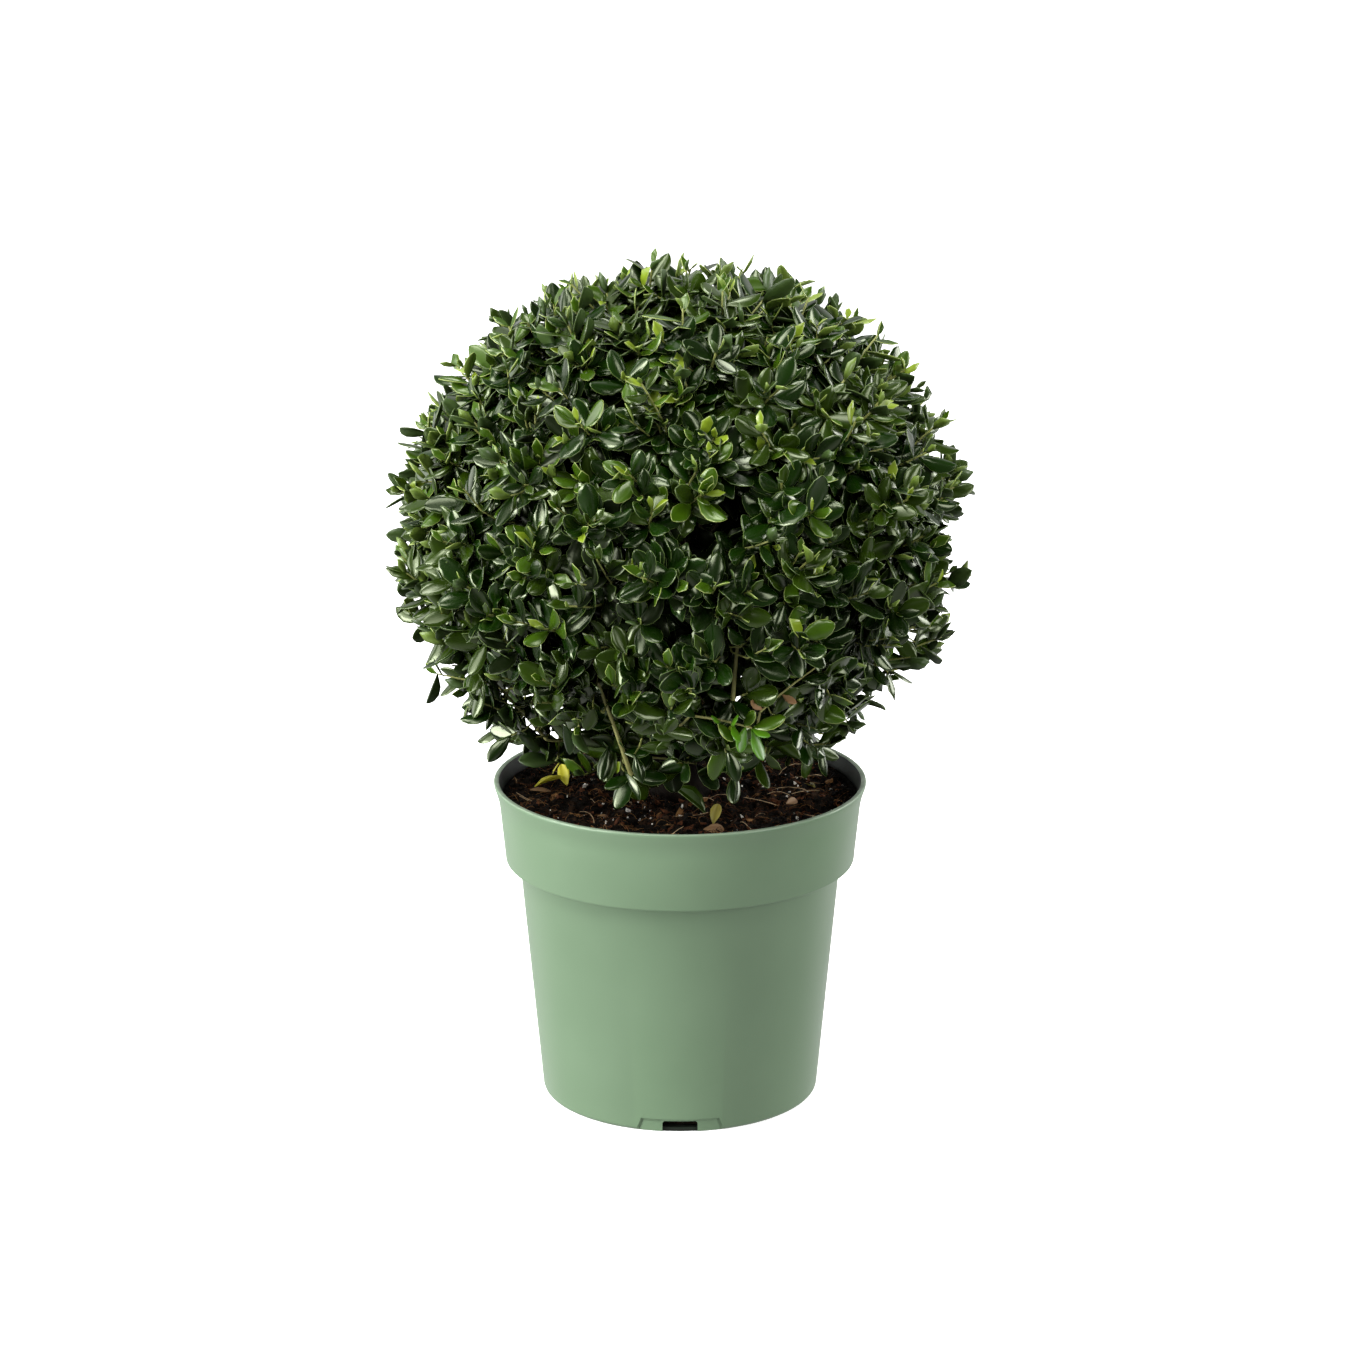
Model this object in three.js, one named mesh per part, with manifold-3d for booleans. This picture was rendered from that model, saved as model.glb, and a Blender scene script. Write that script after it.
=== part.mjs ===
// A potted Japanese holly: a clipped ball of small leaves on a short forked trunk, in a tapered plastic
// nursery pot filled with soil. Millimetres, +Z up, origin at the middle of the pot's underside.
import * as THREE from "three";
import { mergeVertices } from "three/addons/utils/BufferGeometryUtils.js";
import Module from "manifold-3d";

const solids = await Module();
solids.setup();
const { Manifold, Mesh: SolidMesh } = solids;

// Driving dimensions

const GAP = 0.3; // clearance between neighbouring pieces
const UP = new THREE.Vector3(0, 0, 1);
const GOLDEN_ANGLE = Math.PI * (3 - Math.sqrt(5));

const POT = {
  height: 200.8,
  baseRadius: 85.6,
  cornerRadius: 3.5,
  bodyTopRadius: 99.5,
  bodyTopHeight: 150,
  collarFootRadius: 107.9,
  collarFootHeight: 150.6,
  collarTopRadius: 112.3,
  lipRadius: 115,
  lipWidth: 4.2,
  lipHeight: 4.2,
  lipRound: 1.1,
  wall: 1.9,
  wallSlope: 0.1,
  floor: 2.6,
  segments: 48,
};
const CUT_PAST = 10; // how far a cutter runs on past what it cuts

// One drain hole through the foot of the wall, in the middle of a shallow sunken pad.
const DRAIN = {
  count: 3,
  width: 23,
  height: 6.8,
  reach: 26,
  padFootWidth: 47,
  padTopWidth: 41,
  padHeight: 8.2,
  padDepth: 0.9,
};

const SOIL = {
  edgeDepth: 14, // below the pot's rim, at the wall
  crownDepth: 10.6, // below the pot's rim, round the trunk
  flatRadius: 25,
  levelBand: 12, // width over which the lumps rise from the level middle
  wallBand: 6, // and over which they sink again to the wall
  lump: 1.1,
  rings: 5,
  segments: 28,
};

const TRUNK = {
  height: 52,
  footRadius: 14,
  forkRadius: 11.5,
  flare: 0.5,
  flareFall: 6,
  rootLobes: 5,
  lobeDepth: 0.4,
  lean: new THREE.Vector2(3, -2),
  sides: 15,
  steps: 6,
};

// The clipped ball: its middle, its half width and its half height above the middle.
const BALL = { height: 359.7, radius: 177, topRadius: 164 };

// Latitudes on the ball, in degrees, that part the dense crown from the looser sprays under it.
const PARTING = { crown: -41, skirt: -80 };
const PARTING_GAP = 1;
const GROUND_GAP = 5; // between the soil at the wall and the lowest leaves

// The boughs by tier: where each leaves the trunk and where it ends, as radius and height.
const BOUGHS = {
  upper: {
    count: 5,
    turn: 0.2,
    foot: { radius: 7.6, height: 237 },
    tip: { radius: 84, height: 356 },
    rise: 0.28,
    footRadius: 3.7,
    tipRadius: 2.7,
  },
  skirt: {
    count: 8,
    turn: 0.55,
    foot: { radius: 4, height: 213 },
    tip: { radius: 72, height: 238 },
    rise: 0.1,
    footRadius: 3.5,
    tipRadius: 2.1,
  },
};
const BOUGH_BEND = 0.45; // share of the way out at which a bough bends
const BOUGH_SPREAD = { reach: 0.06, turn: 0.12 }; // how far boughs of one tier differ
const LEADER = { footRadius: 3.5, tipRadius: 2.7, tip: new THREE.Vector3(-4, 5, 366), bow: 3 };
const BOUGH_SIDES = 5;
const BOUGH_STEPS = 5;

// The dense core inside the crown: the ball shrunk, over a hollow underside like an umbrella's.
const CORE = {
  scale: 0.81,
  undersideHeight: -30,
  undersideBands: 4,
  undersideSlant: 1.2, // height per clearance square to the sloping underside
  footLatitude: -38,
  bands: 10,
  segments: 18,
};

// Twigs end at points spread evenly over the ball; each carries leaves from a share of its length on.
const CROWN_TWIGS = {
  count: 106,
  length: 18,
  sunk: 7,
  radius: 2.1,
  leaves: 3,
  leafFrom: 0.55,
  lift: 0.3,
  stray: 0.25,
  lowest: PARTING.crown + 6,
};
const SPRAY_TWIGS = { count: 56, tipShare: 0.83, radius: 1.9, leaves: 3, leafFrom: 0.45, leafSize: 0.88 };
const TWIG_TAPER = 0.75;
const LAST_LEAF = 0.94;
const SPRAY_STEM = { reach: 46, drop: -0.12 };

// Each modelled leaf stands for a small spray, so it is nearly twice the length of a real one.
const LEAF = {
  length: 43,
  width: 23,
  thickness: 1.4,
  camber: 1.8,
  sunk: 0.8,
  widestShift: 0.34,
  tipWidth: 0.55,
  footSpread: 1.3, // angle between a leaf and its twig, low on the twig
  tipSpread: 0.75, // and at its tip
};
const LEAF_TRIES = { count: 18, spread: 0.045 };
const TWIG_SIDES = 3;

// Where each family of limbs and leaves starts its own run of random numbers.
const SEEDS = { boughs: 20, crown: 40, skirt: 60 };

// Helpers: random numbers, directions and solids

/** A seeded source of numbers from 0 to 1. */
function seeded(seed) {
  let state = seed;
  return () => {
    state = (state + 0x6d2b79f5) | 0;
    let mixed = Math.imul(state ^ (state >>> 15), 1 | state);
    mixed = (mixed + Math.imul(mixed ^ (mixed >>> 7), 61 | mixed)) ^ mixed;
    return ((mixed ^ (mixed >>> 14)) >>> 0) / 2 ** 32;
  };
}

/** A number spread evenly about a middle value, by a share of it. */
const varied = (random, middle, share) => middle * (1 + share * (2 * random() - 1));

/** The point at a radius, a height and an azimuth round the pot's axis. */
const polar = (radius, height, azimuth) =>
  new THREE.Vector3(radius * Math.cos(azimuth), radius * Math.sin(azimuth), height);

/** Directions spread evenly over a ball between two latitudes in degrees, by the golden angle. */
function goldenDirections(count, highest, lowest) {
  const [top, bottom] = [highest, lowest].map((latitude) => Math.sin(THREE.MathUtils.degToRad(latitude)));
  return Array.from({ length: count }, (_, index) => {
    const rise = THREE.MathUtils.lerp(top, bottom, (index + 0.5) / count);
    return polar(Math.sqrt(1 - rise * rise), rise, index * GOLDEN_ANGLE);
  });
}

/** A closed three.js geometry as a solid that can be joined and cut. */
function solidFrom(geometry) {
  const bare = geometry.clone();
  bare.deleteAttribute("normal");
  bare.deleteAttribute("uv");
  const merged = mergeVertices(bare, 1e-4);
  const corners = Array.from(merged.index.array);
  const triVerts = corners.filter((_, i) => {
    const [a, b, c] = corners.slice(i - (i % 3), i - (i % 3) + 3);
    return a !== b && b !== c && c !== a;
  });
  const vertProperties = merged.attributes.position.array;
  return new Manifold(
    new SolidMesh({ numProp: 3, vertProperties, triVerts: new Uint32Array(triVerts) }),
  );
}

/** The largest body of a solid, without loose scraps and with sealed hollows filled. */
function largestBody(solid) {
  return solid.decompose().reduce((best, body) => (body.volume() > best.volume() ? body : best));
}

/** A solid as a three.js geometry. */
function geometryFrom(solid) {
  const { vertProperties, triVerts } = solid.getMesh();
  const geometry = new THREE.BufferGeometry();
  geometry.setAttribute("position", new THREE.BufferAttribute(vertProperties, 3));
  geometry.setIndex(new THREE.BufferAttribute(triVerts, 1));
  geometry.computeVertexNormals();
  return geometry;
}

/** A profile of [radius, height] pairs turned about the vertical axis. */
function turned(profile, segments) {
  const points = profile.map(([radius, height]) => new THREE.Vector2(radius, height));
  return new THREE.LatheGeometry(points, segments).rotateX(Math.PI / 2);
}

// The pot and its soil

/** Half the pot's bore at a height, following the wall from the floor to the rim. */
function boreRadius(height) {
  const { wall } = POT;
  const knots = [
    [POT.floor, POT.baseRadius + POT.floor * POT.wallSlope - wall],
    [POT.bodyTopHeight + wall, POT.bodyTopRadius - wall],
    [POT.collarFootHeight + wall, POT.collarFootRadius - wall],
    [POT.height, POT.collarTopRadius - wall],
  ];
  const next = Math.max(1, knots.findIndex(([knotHeight]) => height <= knotHeight));
  const [[lowHeight, lowRadius], [highHeight, highRadius]] = [knots[next - 1], knots[next]];
  return THREE.MathUtils.mapLinear(height, lowHeight, highHeight, lowRadius, highRadius);
}

/** The turned wall, floor, collar and lip of the pot. */
function potShell() {
  const { baseRadius, cornerRadius, height, lipRadius, lipRound, lipHeight, wall, floor } = POT;
  const boreFoot = POT.bodyTopHeight + wall;
  const boreCollar = POT.collarFootHeight + wall;
  return turned(
    [
      [0, 0],
      [baseRadius - cornerRadius, 0],
      [baseRadius - cornerRadius * 0.25, cornerRadius * 0.35],
      [baseRadius + cornerRadius * POT.wallSlope, cornerRadius],
      [POT.bodyTopRadius, POT.bodyTopHeight],
      [POT.collarFootRadius, POT.collarFootHeight],
      [POT.collarTopRadius, height - lipHeight],
      [lipRadius, height - lipHeight + lipRound],
      [lipRadius, height - lipRound],
      [lipRadius - lipRound, height],
      [lipRadius - POT.lipWidth, height],
      [boreRadius(boreCollar), boreCollar],
      [boreRadius(boreFoot), boreFoot],
      [boreRadius(floor), floor],
      [0, floor],
    ],
    POT.segments,
  );
}

/** The sunken pad and the hole of one drain, as one cutter pointing along +X. */
function drainCutter() {
  const outside = POT.baseRadius + CUT_PAST;
  const padFace = POT.baseRadius - DRAIN.padDepth;
  const slotLength = DRAIN.reach + CUT_PAST;
  const slot = new THREE.BoxGeometry(slotLength, DRAIN.width, DRAIN.height + CUT_PAST);
  slot.translate(outside - slotLength / 2, 0, (DRAIN.height - CUT_PAST) / 2);
  const [footHalf, topHalf] = [DRAIN.padFootWidth / 2, DRAIN.padTopWidth / 2];
  const outline = new THREE.Shape([
    new THREE.Vector2(-footHalf, -CUT_PAST),
    new THREE.Vector2(footHalf, -CUT_PAST),
    new THREE.Vector2(footHalf, 0),
    new THREE.Vector2(topHalf, DRAIN.padHeight),
    new THREE.Vector2(-topHalf, DRAIN.padHeight),
    new THREE.Vector2(-footHalf, 0),
  ]);
  const pad = new THREE.ExtrudeGeometry(outline, { depth: outside - padFace, bevelEnabled: false });
  pad.rotateX(Math.PI / 2).rotateZ(Math.PI / 2).translate(padFace, 0, 0);
  return solidFrom(slot).add(solidFrom(pad));
}

/** The pot with its drain holes cut, one of them facing the viewer at -Y. */
function potSolid() {
  const cutter = drainCutter();
  let pot = solidFrom(potShell());
  for (let index = 0; index < DRAIN.count; index++) {
    pot = pot.subtract(cutter.rotate([0, 0, -90 + (360 / DRAIN.count) * index]));
  }
  return pot;
}

/** Small rises and hollows of the loose soil. */
const soilLump = (x, y) =>
  SOIL.lump * (Math.sin(x / 9 + 1) * Math.cos(y / 11) + 0.8 * Math.sin((x + 1.7 * y) / 13));

/** Soil that fills the pot to just under its rim, level in the middle where the trunk stands. */
function soilGeometry() {
  const [foot, edge] = [POT.floor + GAP, POT.height - SOIL.edgeDepth];
  const crown = POT.height - SOIL.crownDepth;
  const wallGap = GAP + 0.1; // a little more, as the wall's facets lie inside its circle
  const ledge = [POT.bodyTopHeight, POT.collarFootHeight].map((height) => height + POT.wall);
  const side = [
    [boreRadius(foot) - wallGap, foot],
    ...ledge.map((height) => [boreRadius(height) - wallGap, height + wallGap]),
    [boreRadius(edge) - wallGap, edge],
  ];
  const edgeRadius = boreRadius(edge) - GAP;
  const surface = Array.from({ length: SOIL.rings }, (_, ring) => {
    const share = (ring + 1) / SOIL.rings;
    const height = THREE.MathUtils.lerp(edge, crown, Math.sin((share * Math.PI) / 2));
    return [THREE.MathUtils.lerp(edgeRadius, SOIL.flatRadius, share), height];
  });
  const soil = turned(
    [[0, foot], ...side, ...surface, [0, crown]],
    SOIL.segments,
  );
  const places = soil.attributes.position;
  for (let i = 0; i < places.count; i++) {
    const [x, y, z] = [places.getX(i), places.getY(i), places.getZ(i)];
    const radius = Math.hypot(x, y);
    const fromMiddle = Math.min(1, (radius - SOIL.flatRadius) / SOIL.levelBand);
    const loose = fromMiddle * Math.min(1, (edgeRadius - radius) / SOIL.wallBand);
    if (z > edge - GAP && loose > 0) places.setZ(i, z + loose * soilLump(x, y));
  }
  return soil;
}

// The trunk and its boughs

/** A closed limb along a curve, its thickness given by radiusAt(share along, angle round). */
function limbGeometry(curve, radiusAt, sides, steps) {
  const limb = new THREE.CylinderGeometry(1, 1, 1, sides, steps);
  const frames = curve.computeFrenetFrames(steps);
  const places = limb.attributes.position;
  const point = new THREE.Vector3();
  for (let i = 0; i < places.count; i++) {
    const [x, y, z] = [places.getX(i), places.getY(i), places.getZ(i)];
    const ring = Math.round((y + 0.5) * steps);
    const radius = radiusAt(ring / steps, Math.atan2(x, z));
    point.copy(curve.getPointAt(ring / steps));
    point.addScaledVector(frames.normals[ring], x * radius);
    point.addScaledVector(frames.binormals[ring], -z * radius);
    places.setXYZ(i, point.x, point.y, point.z);
  }
  return limb;
}

/** The trunk's middle line, upright at the ground and leaning towards its fork. */
function trunkCurve(clearance = 0) {
  const ground = POT.height - SOIL.crownDepth + GAP;
  return new THREE.QuadraticBezierCurve3(
    new THREE.Vector3(0, 0, ground),
    new THREE.Vector3(0, 0, ground + TRUNK.height / 2),
    new THREE.Vector3(TRUNK.lean.x, TRUNK.lean.y, ground + TRUNK.height + clearance),
  );
}

/** The trunk from its flat cut on the soil to its fork, swollen by a given clearance. */
function trunkGeometry(clearance = 0) {
  const curve = trunkCurve(clearance);
  const radiusAt = (share, angle) => {
    const lobes = 1 + TRUNK.lobeDepth * Math.cos(TRUNK.rootLobes * angle);
    const flare = TRUNK.flare * (1 - share) ** TRUNK.flareFall * lobes;
    return THREE.MathUtils.lerp(TRUNK.footRadius, TRUNK.forkRadius, share) * (1 + flare) + clearance;
  };
  return limbGeometry(curve, radiusAt, TRUNK.sides, TRUNK.steps);
}

/** The curve of one bough of a tier, rising as it leaves the trunk and then bending outwards. */
function boughCurve(tier, azimuth, random) {
  const tipRadius = varied(random, tier.tip.radius, BOUGH_SPREAD.reach);
  const trunk = trunkCurve();
  const share = (tier.foot.height - trunk.v0.z) / (trunk.v2.z - trunk.v0.z);
  const foot = polar(tier.foot.radius, 0, azimuth).add(trunk.getPoint(share));
  const tip = polar(tipRadius, tier.tip.height, azimuth + BOUGH_SPREAD.turn * (2 * random() - 1));
  const bend = foot.clone().lerp(tip, BOUGH_BEND);
  bend.z = THREE.MathUtils.lerp(foot.z, tip.z, BOUGH_BEND + tier.rise);
  return new THREE.QuadraticBezierCurve3(foot, bend, tip);
}

/** A bough that tapers evenly along its curve, swollen by a given clearance. */
function boughSolid(curve, { footRadius, tipRadius }, clearance = 0) {
  const radiusAt = (share) => THREE.MathUtils.lerp(footRadius, tipRadius, share) + clearance;
  return solidFrom(limbGeometry(curve, radiusAt, BOUGH_SIDES, BOUGH_STEPS));
}

/** Every bough of every tier, as its name, tier, curve and azimuth. */
function planBoughs(random) {
  const planned = Object.entries(BOUGHS).flatMap(([kind, tier]) =>
    Array.from({ length: tier.count }, (_, index) => {
      const azimuth = tier.turn + (2 * Math.PI * index) / tier.count;
      const curve = boughCurve(tier, azimuth, random);
      return { name: `${kind}_bough_${index + 1}`, kind, index, tier, azimuth, curve };
    }),
  );
  const fork = trunkCurve().getPoint(0.92);
  const bend = fork.clone().lerp(LEADER.tip, 0.5);
  bend.x += LEADER.bow;
  const curve = new THREE.QuadraticBezierCurve3(fork, bend, LEADER.tip);
  return [...planned, { name: "leader_bough", kind: "upper", tier: LEADER, curve }];
}

// Foliage: the space of each mass, and the twigs and leaves that grow in it

/** How far out a point lies on the clipped ball: 0 at its middle, 1 on its outline. */
function ballShare(point) {
  const rise = point.z - BALL.height;
  const halfHeight = rise > 0 ? BALL.topRadius : BALL.radius;
  return Math.hypot(point.x / BALL.radius, point.y / BALL.radius, rise / halfHeight);
}

/** A test for points in the ball between two latitudes and, where given, within a sector. */
function ballSpace({ above, below = 90, azimuth = 0, sector = 2 * Math.PI }) {
  const floor = POT.height - SOIL.edgeDepth + GROUND_GAP;
  const slope = (latitude) => Math.tan(THREE.MathUtils.degToRad(latitude));
  return (point) => {
    const radius = Math.hypot(point.x, point.y);
    const rise = point.z - BALL.height;
    if (ballShare(point) > 1 || point.z < floor) return false;
    if (rise < radius * slope(above) + PARTING_GAP) return false;
    if (below < 90 && rise > radius * slope(below) - PARTING_GAP) return false;
    const turn = Math.atan2(point.y, point.x) - azimuth;
    const off = Math.abs(Math.atan2(Math.sin(turn), Math.cos(turn)));
    return sector >= 2 * Math.PI || (sector / 2 - off) * radius > PARTING_GAP;
  };
}

/** A thin blunt leaf along +X from its root at the origin, its face towards +Y. */
function leafGeometry(length, width) {
  const leaf = new THREE.SphereGeometry(1, 5, 2);
  const places = leaf.attributes.position;
  for (let i = 0; i < places.count; i++) {
    const [x, y, z] = [places.getX(i), places.getY(i), places.getZ(i)];
    const towardsTip = (x + 1) / 2;
    const along = towardsTip + (1 - towardsTip) * Math.abs(z) * LEAF.widestShift;
    const narrowing = x > 0.5 ? LEAF.tipWidth : 1;
    const rise = (y * LEAF.thickness) / 2 + LEAF.camber * (1 - x * x);
    places.setXYZ(i, along * length, rise, (z * narrowing * width) / 2);
  }
  return leaf;
}

/** One mass of foliage: twigs and leaves that keep to a space and clear of the limbs, fused to a base. */
class Foliage {
  constructor(base, space, limbs, random) {
    Object.assign(this, { base, space, limbs, random, twigs: [], leaves: [] });
  }

  /** A straight three-sided twig, unless it would leave the space or touch a limb. */
  addTwig(foot, direction, length, radius) {
    const tip = foot.clone().addScaledVector(direction, length);
    if (!this.space(tip)) return null;
    const lengthwise = new THREE.Vector3(0, 1, 0);
    const roll = new THREE.Quaternion().setFromAxisAngle(lengthwise, this.random() * 2 * Math.PI);
    const turn = new THREE.Quaternion().setFromUnitVectors(lengthwise, direction).multiply(roll);
    const twig = new THREE.CylinderGeometry(radius * TWIG_TAPER, radius, length, TWIG_SIDES, 1);
    twig.translate(0, length / 2, 0).applyQuaternion(turn).translate(foot.x, foot.y, foot.z);
    const solid = solidFrom(twig);
    if (!solid.intersect(this.limbs).isEmpty()) return null;
    this.twigs.push(solid);
    return { foot, direction, length, turn };
  }

  /** Leaves up a twig, one at a time from its flat sides in turn, more upright towards its tip. */
  addLeaves(twig, count, from, size = 1) {
    const firstSide = Math.floor(this.random() * TWIG_SIDES);
    for (let index = 0; index < count; index++) {
      const share = count > 1 ? index / (count - 1) : 1;
      const along = THREE.MathUtils.lerp(from, LAST_LEAF, share) * twig.length;
      const root = twig.foot.clone().addScaledVector(twig.direction, along);
      const spread = THREE.MathUtils.lerp(LEAF.footSpread, LEAF.tipSpread, share);
      this.addLeaf(twig, root, firstSide + index, spread, size);
    }
  }

  /** One leaf, tried on the next side and laid back a little further until it fits clear of the others. */
  addLeaf(twig, root, firstSide, firstSpread, size) {
    const axis = twig.direction;
    const length = varied(this.random, LEAF.length * size, 0.1);
    const blade = leafGeometry(length, (length * LEAF.width) / LEAF.length);
    for (let attempt = 0; attempt < LEAF_TRIES.count; attempt++) {
      const spread = firstSpread + attempt * LEAF_TRIES.spread;
      const azimuth = ((firstSide + attempt + 0.5) * 2 * Math.PI) / TWIG_SIDES;
      const outward = new THREE.Vector3(Math.sin(azimuth), 0, Math.cos(azimuth)).applyQuaternion(twig.turn);
      const along = axis.clone().multiplyScalar(Math.cos(spread));
      along.addScaledVector(outward, Math.sin(spread));
      const across = new THREE.Vector3().crossVectors(along, axis).normalize();
      const face = new THREE.Vector3().crossVectors(across, along);
      const place = new THREE.Matrix4().makeBasis(along, face, across);
      place.setPosition(root.clone().addScaledVector(along, -LEAF.sunk));
      if (this.takes(blade.clone().applyMatrix4(place))) return;
    }
  }

  /** Keeps a leaf that lies in the space and touches neither a limb nor another leaf. */
  takes(leaf) {
    const places = leaf.attributes.position;
    const point = new THREE.Vector3();
    for (let i = 0; i < places.count; i++) {
      if (!this.space(point.fromBufferAttribute(places, i))) return false;
    }
    leaf.computeBoundingBox();
    const solid = solidFrom(leaf);
    const near = this.leaves.filter(({ box }) => box.intersectsBox(leaf.boundingBox));
    const touches = near.some((other) => !solid.intersect(other.solid).isEmpty());
    if (touches || !solid.intersect(this.limbs).isEmpty()) return false;
    this.leaves.push({ solid, box: leaf.boundingBox });
    return true;
  }

  /** The base, twigs and leaves as one solid. */
  fused() {
    const leaves = this.leaves.map(({ solid }) => solid);
    return largestBody(Manifold.union([this.base, ...this.twigs, ...leaves]));
  }
}

/** The dense core of the crown, or its outside swollen by a clearance. */
function coreGeometry(clearance = 0) {
  const [radius, topRadius] = [BALL.radius, BALL.topRadius].map((half) => half * CORE.scale + clearance);
  const foot = THREE.MathUtils.degToRad(CORE.footLatitude);
  const outside = Array.from({ length: CORE.bands + 1 }, (_, band) => {
    const latitude = THREE.MathUtils.lerp(foot, Math.PI / 2, band / CORE.bands);
    const rise = Math.sin(latitude) * (latitude > 0 ? topRadius : radius);
    return [radius * Math.cos(latitude), BALL.height + rise];
  });
  const [footRadius, footHeight] = outside[0];
  const inside = Array.from({ length: CORE.undersideBands }, (_, band) => {
    const share = band / CORE.undersideBands;
    const drop = (footHeight - BALL.height - CORE.undersideHeight) * share ** 2;
    const rise = CORE.undersideHeight + drop - CORE.undersideSlant * clearance;
    return [footRadius * share, BALL.height + rise];
  });
  outside[outside.length - 1][0] = 0;
  return turned([...inside, ...outside], CORE.segments);
}

/** The point of the ball in a direction from its middle, at a share of the way out to its outline. */
function ballPoint(direction, share) {
  const halfHeight = direction.z > 0 ? BALL.topRadius : BALL.radius;
  const halves = new THREE.Vector3(BALL.radius, BALL.radius, halfHeight);
  return direction.clone().multiply(halves).multiplyScalar(share).add(new THREE.Vector3(0, 0, BALL.height));
}

/** The clipped crown: short leafy twigs that stand out of the dense core on all sides. */
function crownSolid(limbs, random) {
  const { length, sunk, radius, leaves, leafFrom, lift, stray } = CROWN_TWIGS;
  const space = ballSpace({ above: PARTING.crown });
  const crown = new Foliage(solidFrom(coreGeometry()), space, limbs, random);
  for (const direction of goldenDirections(CROWN_TWIGS.count, 90, CROWN_TWIGS.lowest)) {
    const lean = direction.clone().addScaledVector(UP, lift);
    lean.addScaledVector(polar(1, 0, random() * 2 * Math.PI), stray).normalize();
    const foot = ballPoint(direction, CORE.scale).addScaledVector(lean, -sunk);
    const twig = crown.addTwig(foot, lean, varied(random, length, 0.15), radius);
    if (twig) crown.addLeaves(twig, leaves, leafFrom);
  }
  return crown.fused();
}

/** The share along a stem from which a twig would be shortest to a point. */
function nearestShare(curve, point) {
  const shares = Array.from({ length: 9 }, (_, index) => 0.15 + index * 0.1);
  const distance = (share) => curve.getPointAt(share).distanceTo(point);
  return shares.reduce((best, share) => (distance(share) < distance(best) ? share : best));
}

/** A loose spray that grows on from a bough's tip: a stem, and twigs from it to the tips in its space. */
function spraySolid(bough, tips, space, limbs, random) {
  const outward = bough.curve.getTangentAt(1);
  const foot = bough.curve.getPointAt(1).addScaledVector(outward, GAP);
  const heading = polar(1, SPRAY_STEM.drop, bough.azimuth).normalize();
  const end = foot.clone().addScaledVector(heading, SPRAY_STEM.reach);
  const bend = foot.clone().addScaledVector(outward, SPRAY_STEM.reach / 3);
  const curve = new THREE.QuadraticBezierCurve3(foot, bend, end);
  const { radius, tipShare, leaves, leafFrom, leafSize } = SPRAY_TWIGS;
  const stemRadius = (share) => THREE.MathUtils.lerp(bough.tier.tipRadius, radius, share);
  const stem = solidFrom(limbGeometry(curve, stemRadius, TWIG_SIDES, 2));
  const foliage = new Foliage(stem, space, limbs, random);
  for (const direction of tips) {
    const tip = ballPoint(direction, varied(random, tipShare, 0.04));
    const root = curve.getPointAt(nearestShare(curve, tip));
    const way = tip.clone().sub(root);
    const twig = foliage.addTwig(root, way.clone().normalize(), way.length(), radius);
    if (twig) foliage.addLeaves(twig, leaves, leafFrom, leafSize);
  }
  return foliage.fused();
}

// Assembly

const finish = (color, roughness) => new THREE.MeshStandardMaterial({ color, roughness, metalness: 0 });
const FINISHES = {
  pot: finish(0x7b9478, 0.45),
  soil: finish(0x2b2117, 0.95),
  bark: finish(0x5a4a36, 0.85),
  leaf: finish(0x2f4a1c, 0.35),
};

const plant = new THREE.Group();

/** Adds one named piece to the plant. */
function addPiece(name, geometry, material) {
  const piece = new THREE.Mesh(geometry, material);
  piece.name = name;
  plant.add(piece);
}

const boughs = planBoughs(seeded(SEEDS.boughs));
const trunkRoom = solidFrom(trunkGeometry(GAP));
const coreRoom = solidFrom(coreGeometry(GAP));

addPiece("pot", geometryFrom(potSolid()), FINISHES.pot);
addPiece("soil", soilGeometry(), FINISHES.soil);
addPiece("trunk", trunkGeometry(), FINISHES.bark);

for (const bough of boughs) {
  const cut = boughSolid(bough.curve, bough.tier).subtract(trunkRoom).subtract(coreRoom);
  addPiece(bough.name, geometryFrom(largestBody(cut)), FINISHES.bark);
}

const limbClearance = 2 * GAP;
const limbs = Manifold.union([
  solidFrom(trunkGeometry(limbClearance)),
  ...boughs.map(({ curve, tier }) => boughSolid(curve, tier, limbClearance)),
]);

addPiece("crown", geometryFrom(crownSolid(limbs, seeded(SEEDS.crown))), FINISHES.leaf);

const tips = goldenDirections(SPRAY_TWIGS.count, PARTING.crown, PARTING.skirt);
for (const bough of boughs.filter(({ kind }) => kind === "skirt")) {
  const space = ballSpace({
    above: PARTING.skirt,
    below: PARTING.crown,
    azimuth: bough.azimuth,
    sector: (2 * Math.PI) / BOUGHS.skirt.count,
  });
  const ownTips = tips.filter((direction) => space(ballPoint(direction, SPRAY_TWIGS.tipShare)));
  const solid = spraySolid(bough, ownTips, space, limbs, seeded(SEEDS.skirt + bough.index));
  addPiece(`skirt_spray_${bough.index + 1}`, geometryFrom(solid), FINISHES.leaf);
}

export default plant;
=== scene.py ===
"""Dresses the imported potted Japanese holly: plastic pot, compost, bark limbs and a clipped ball of leaves."""

import logging
import math
from dataclasses import dataclass, field
from enum import Enum, IntEnum

import bpy
import numpy as np
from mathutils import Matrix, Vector
from mathutils.bvhtree import BVHTree


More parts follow.
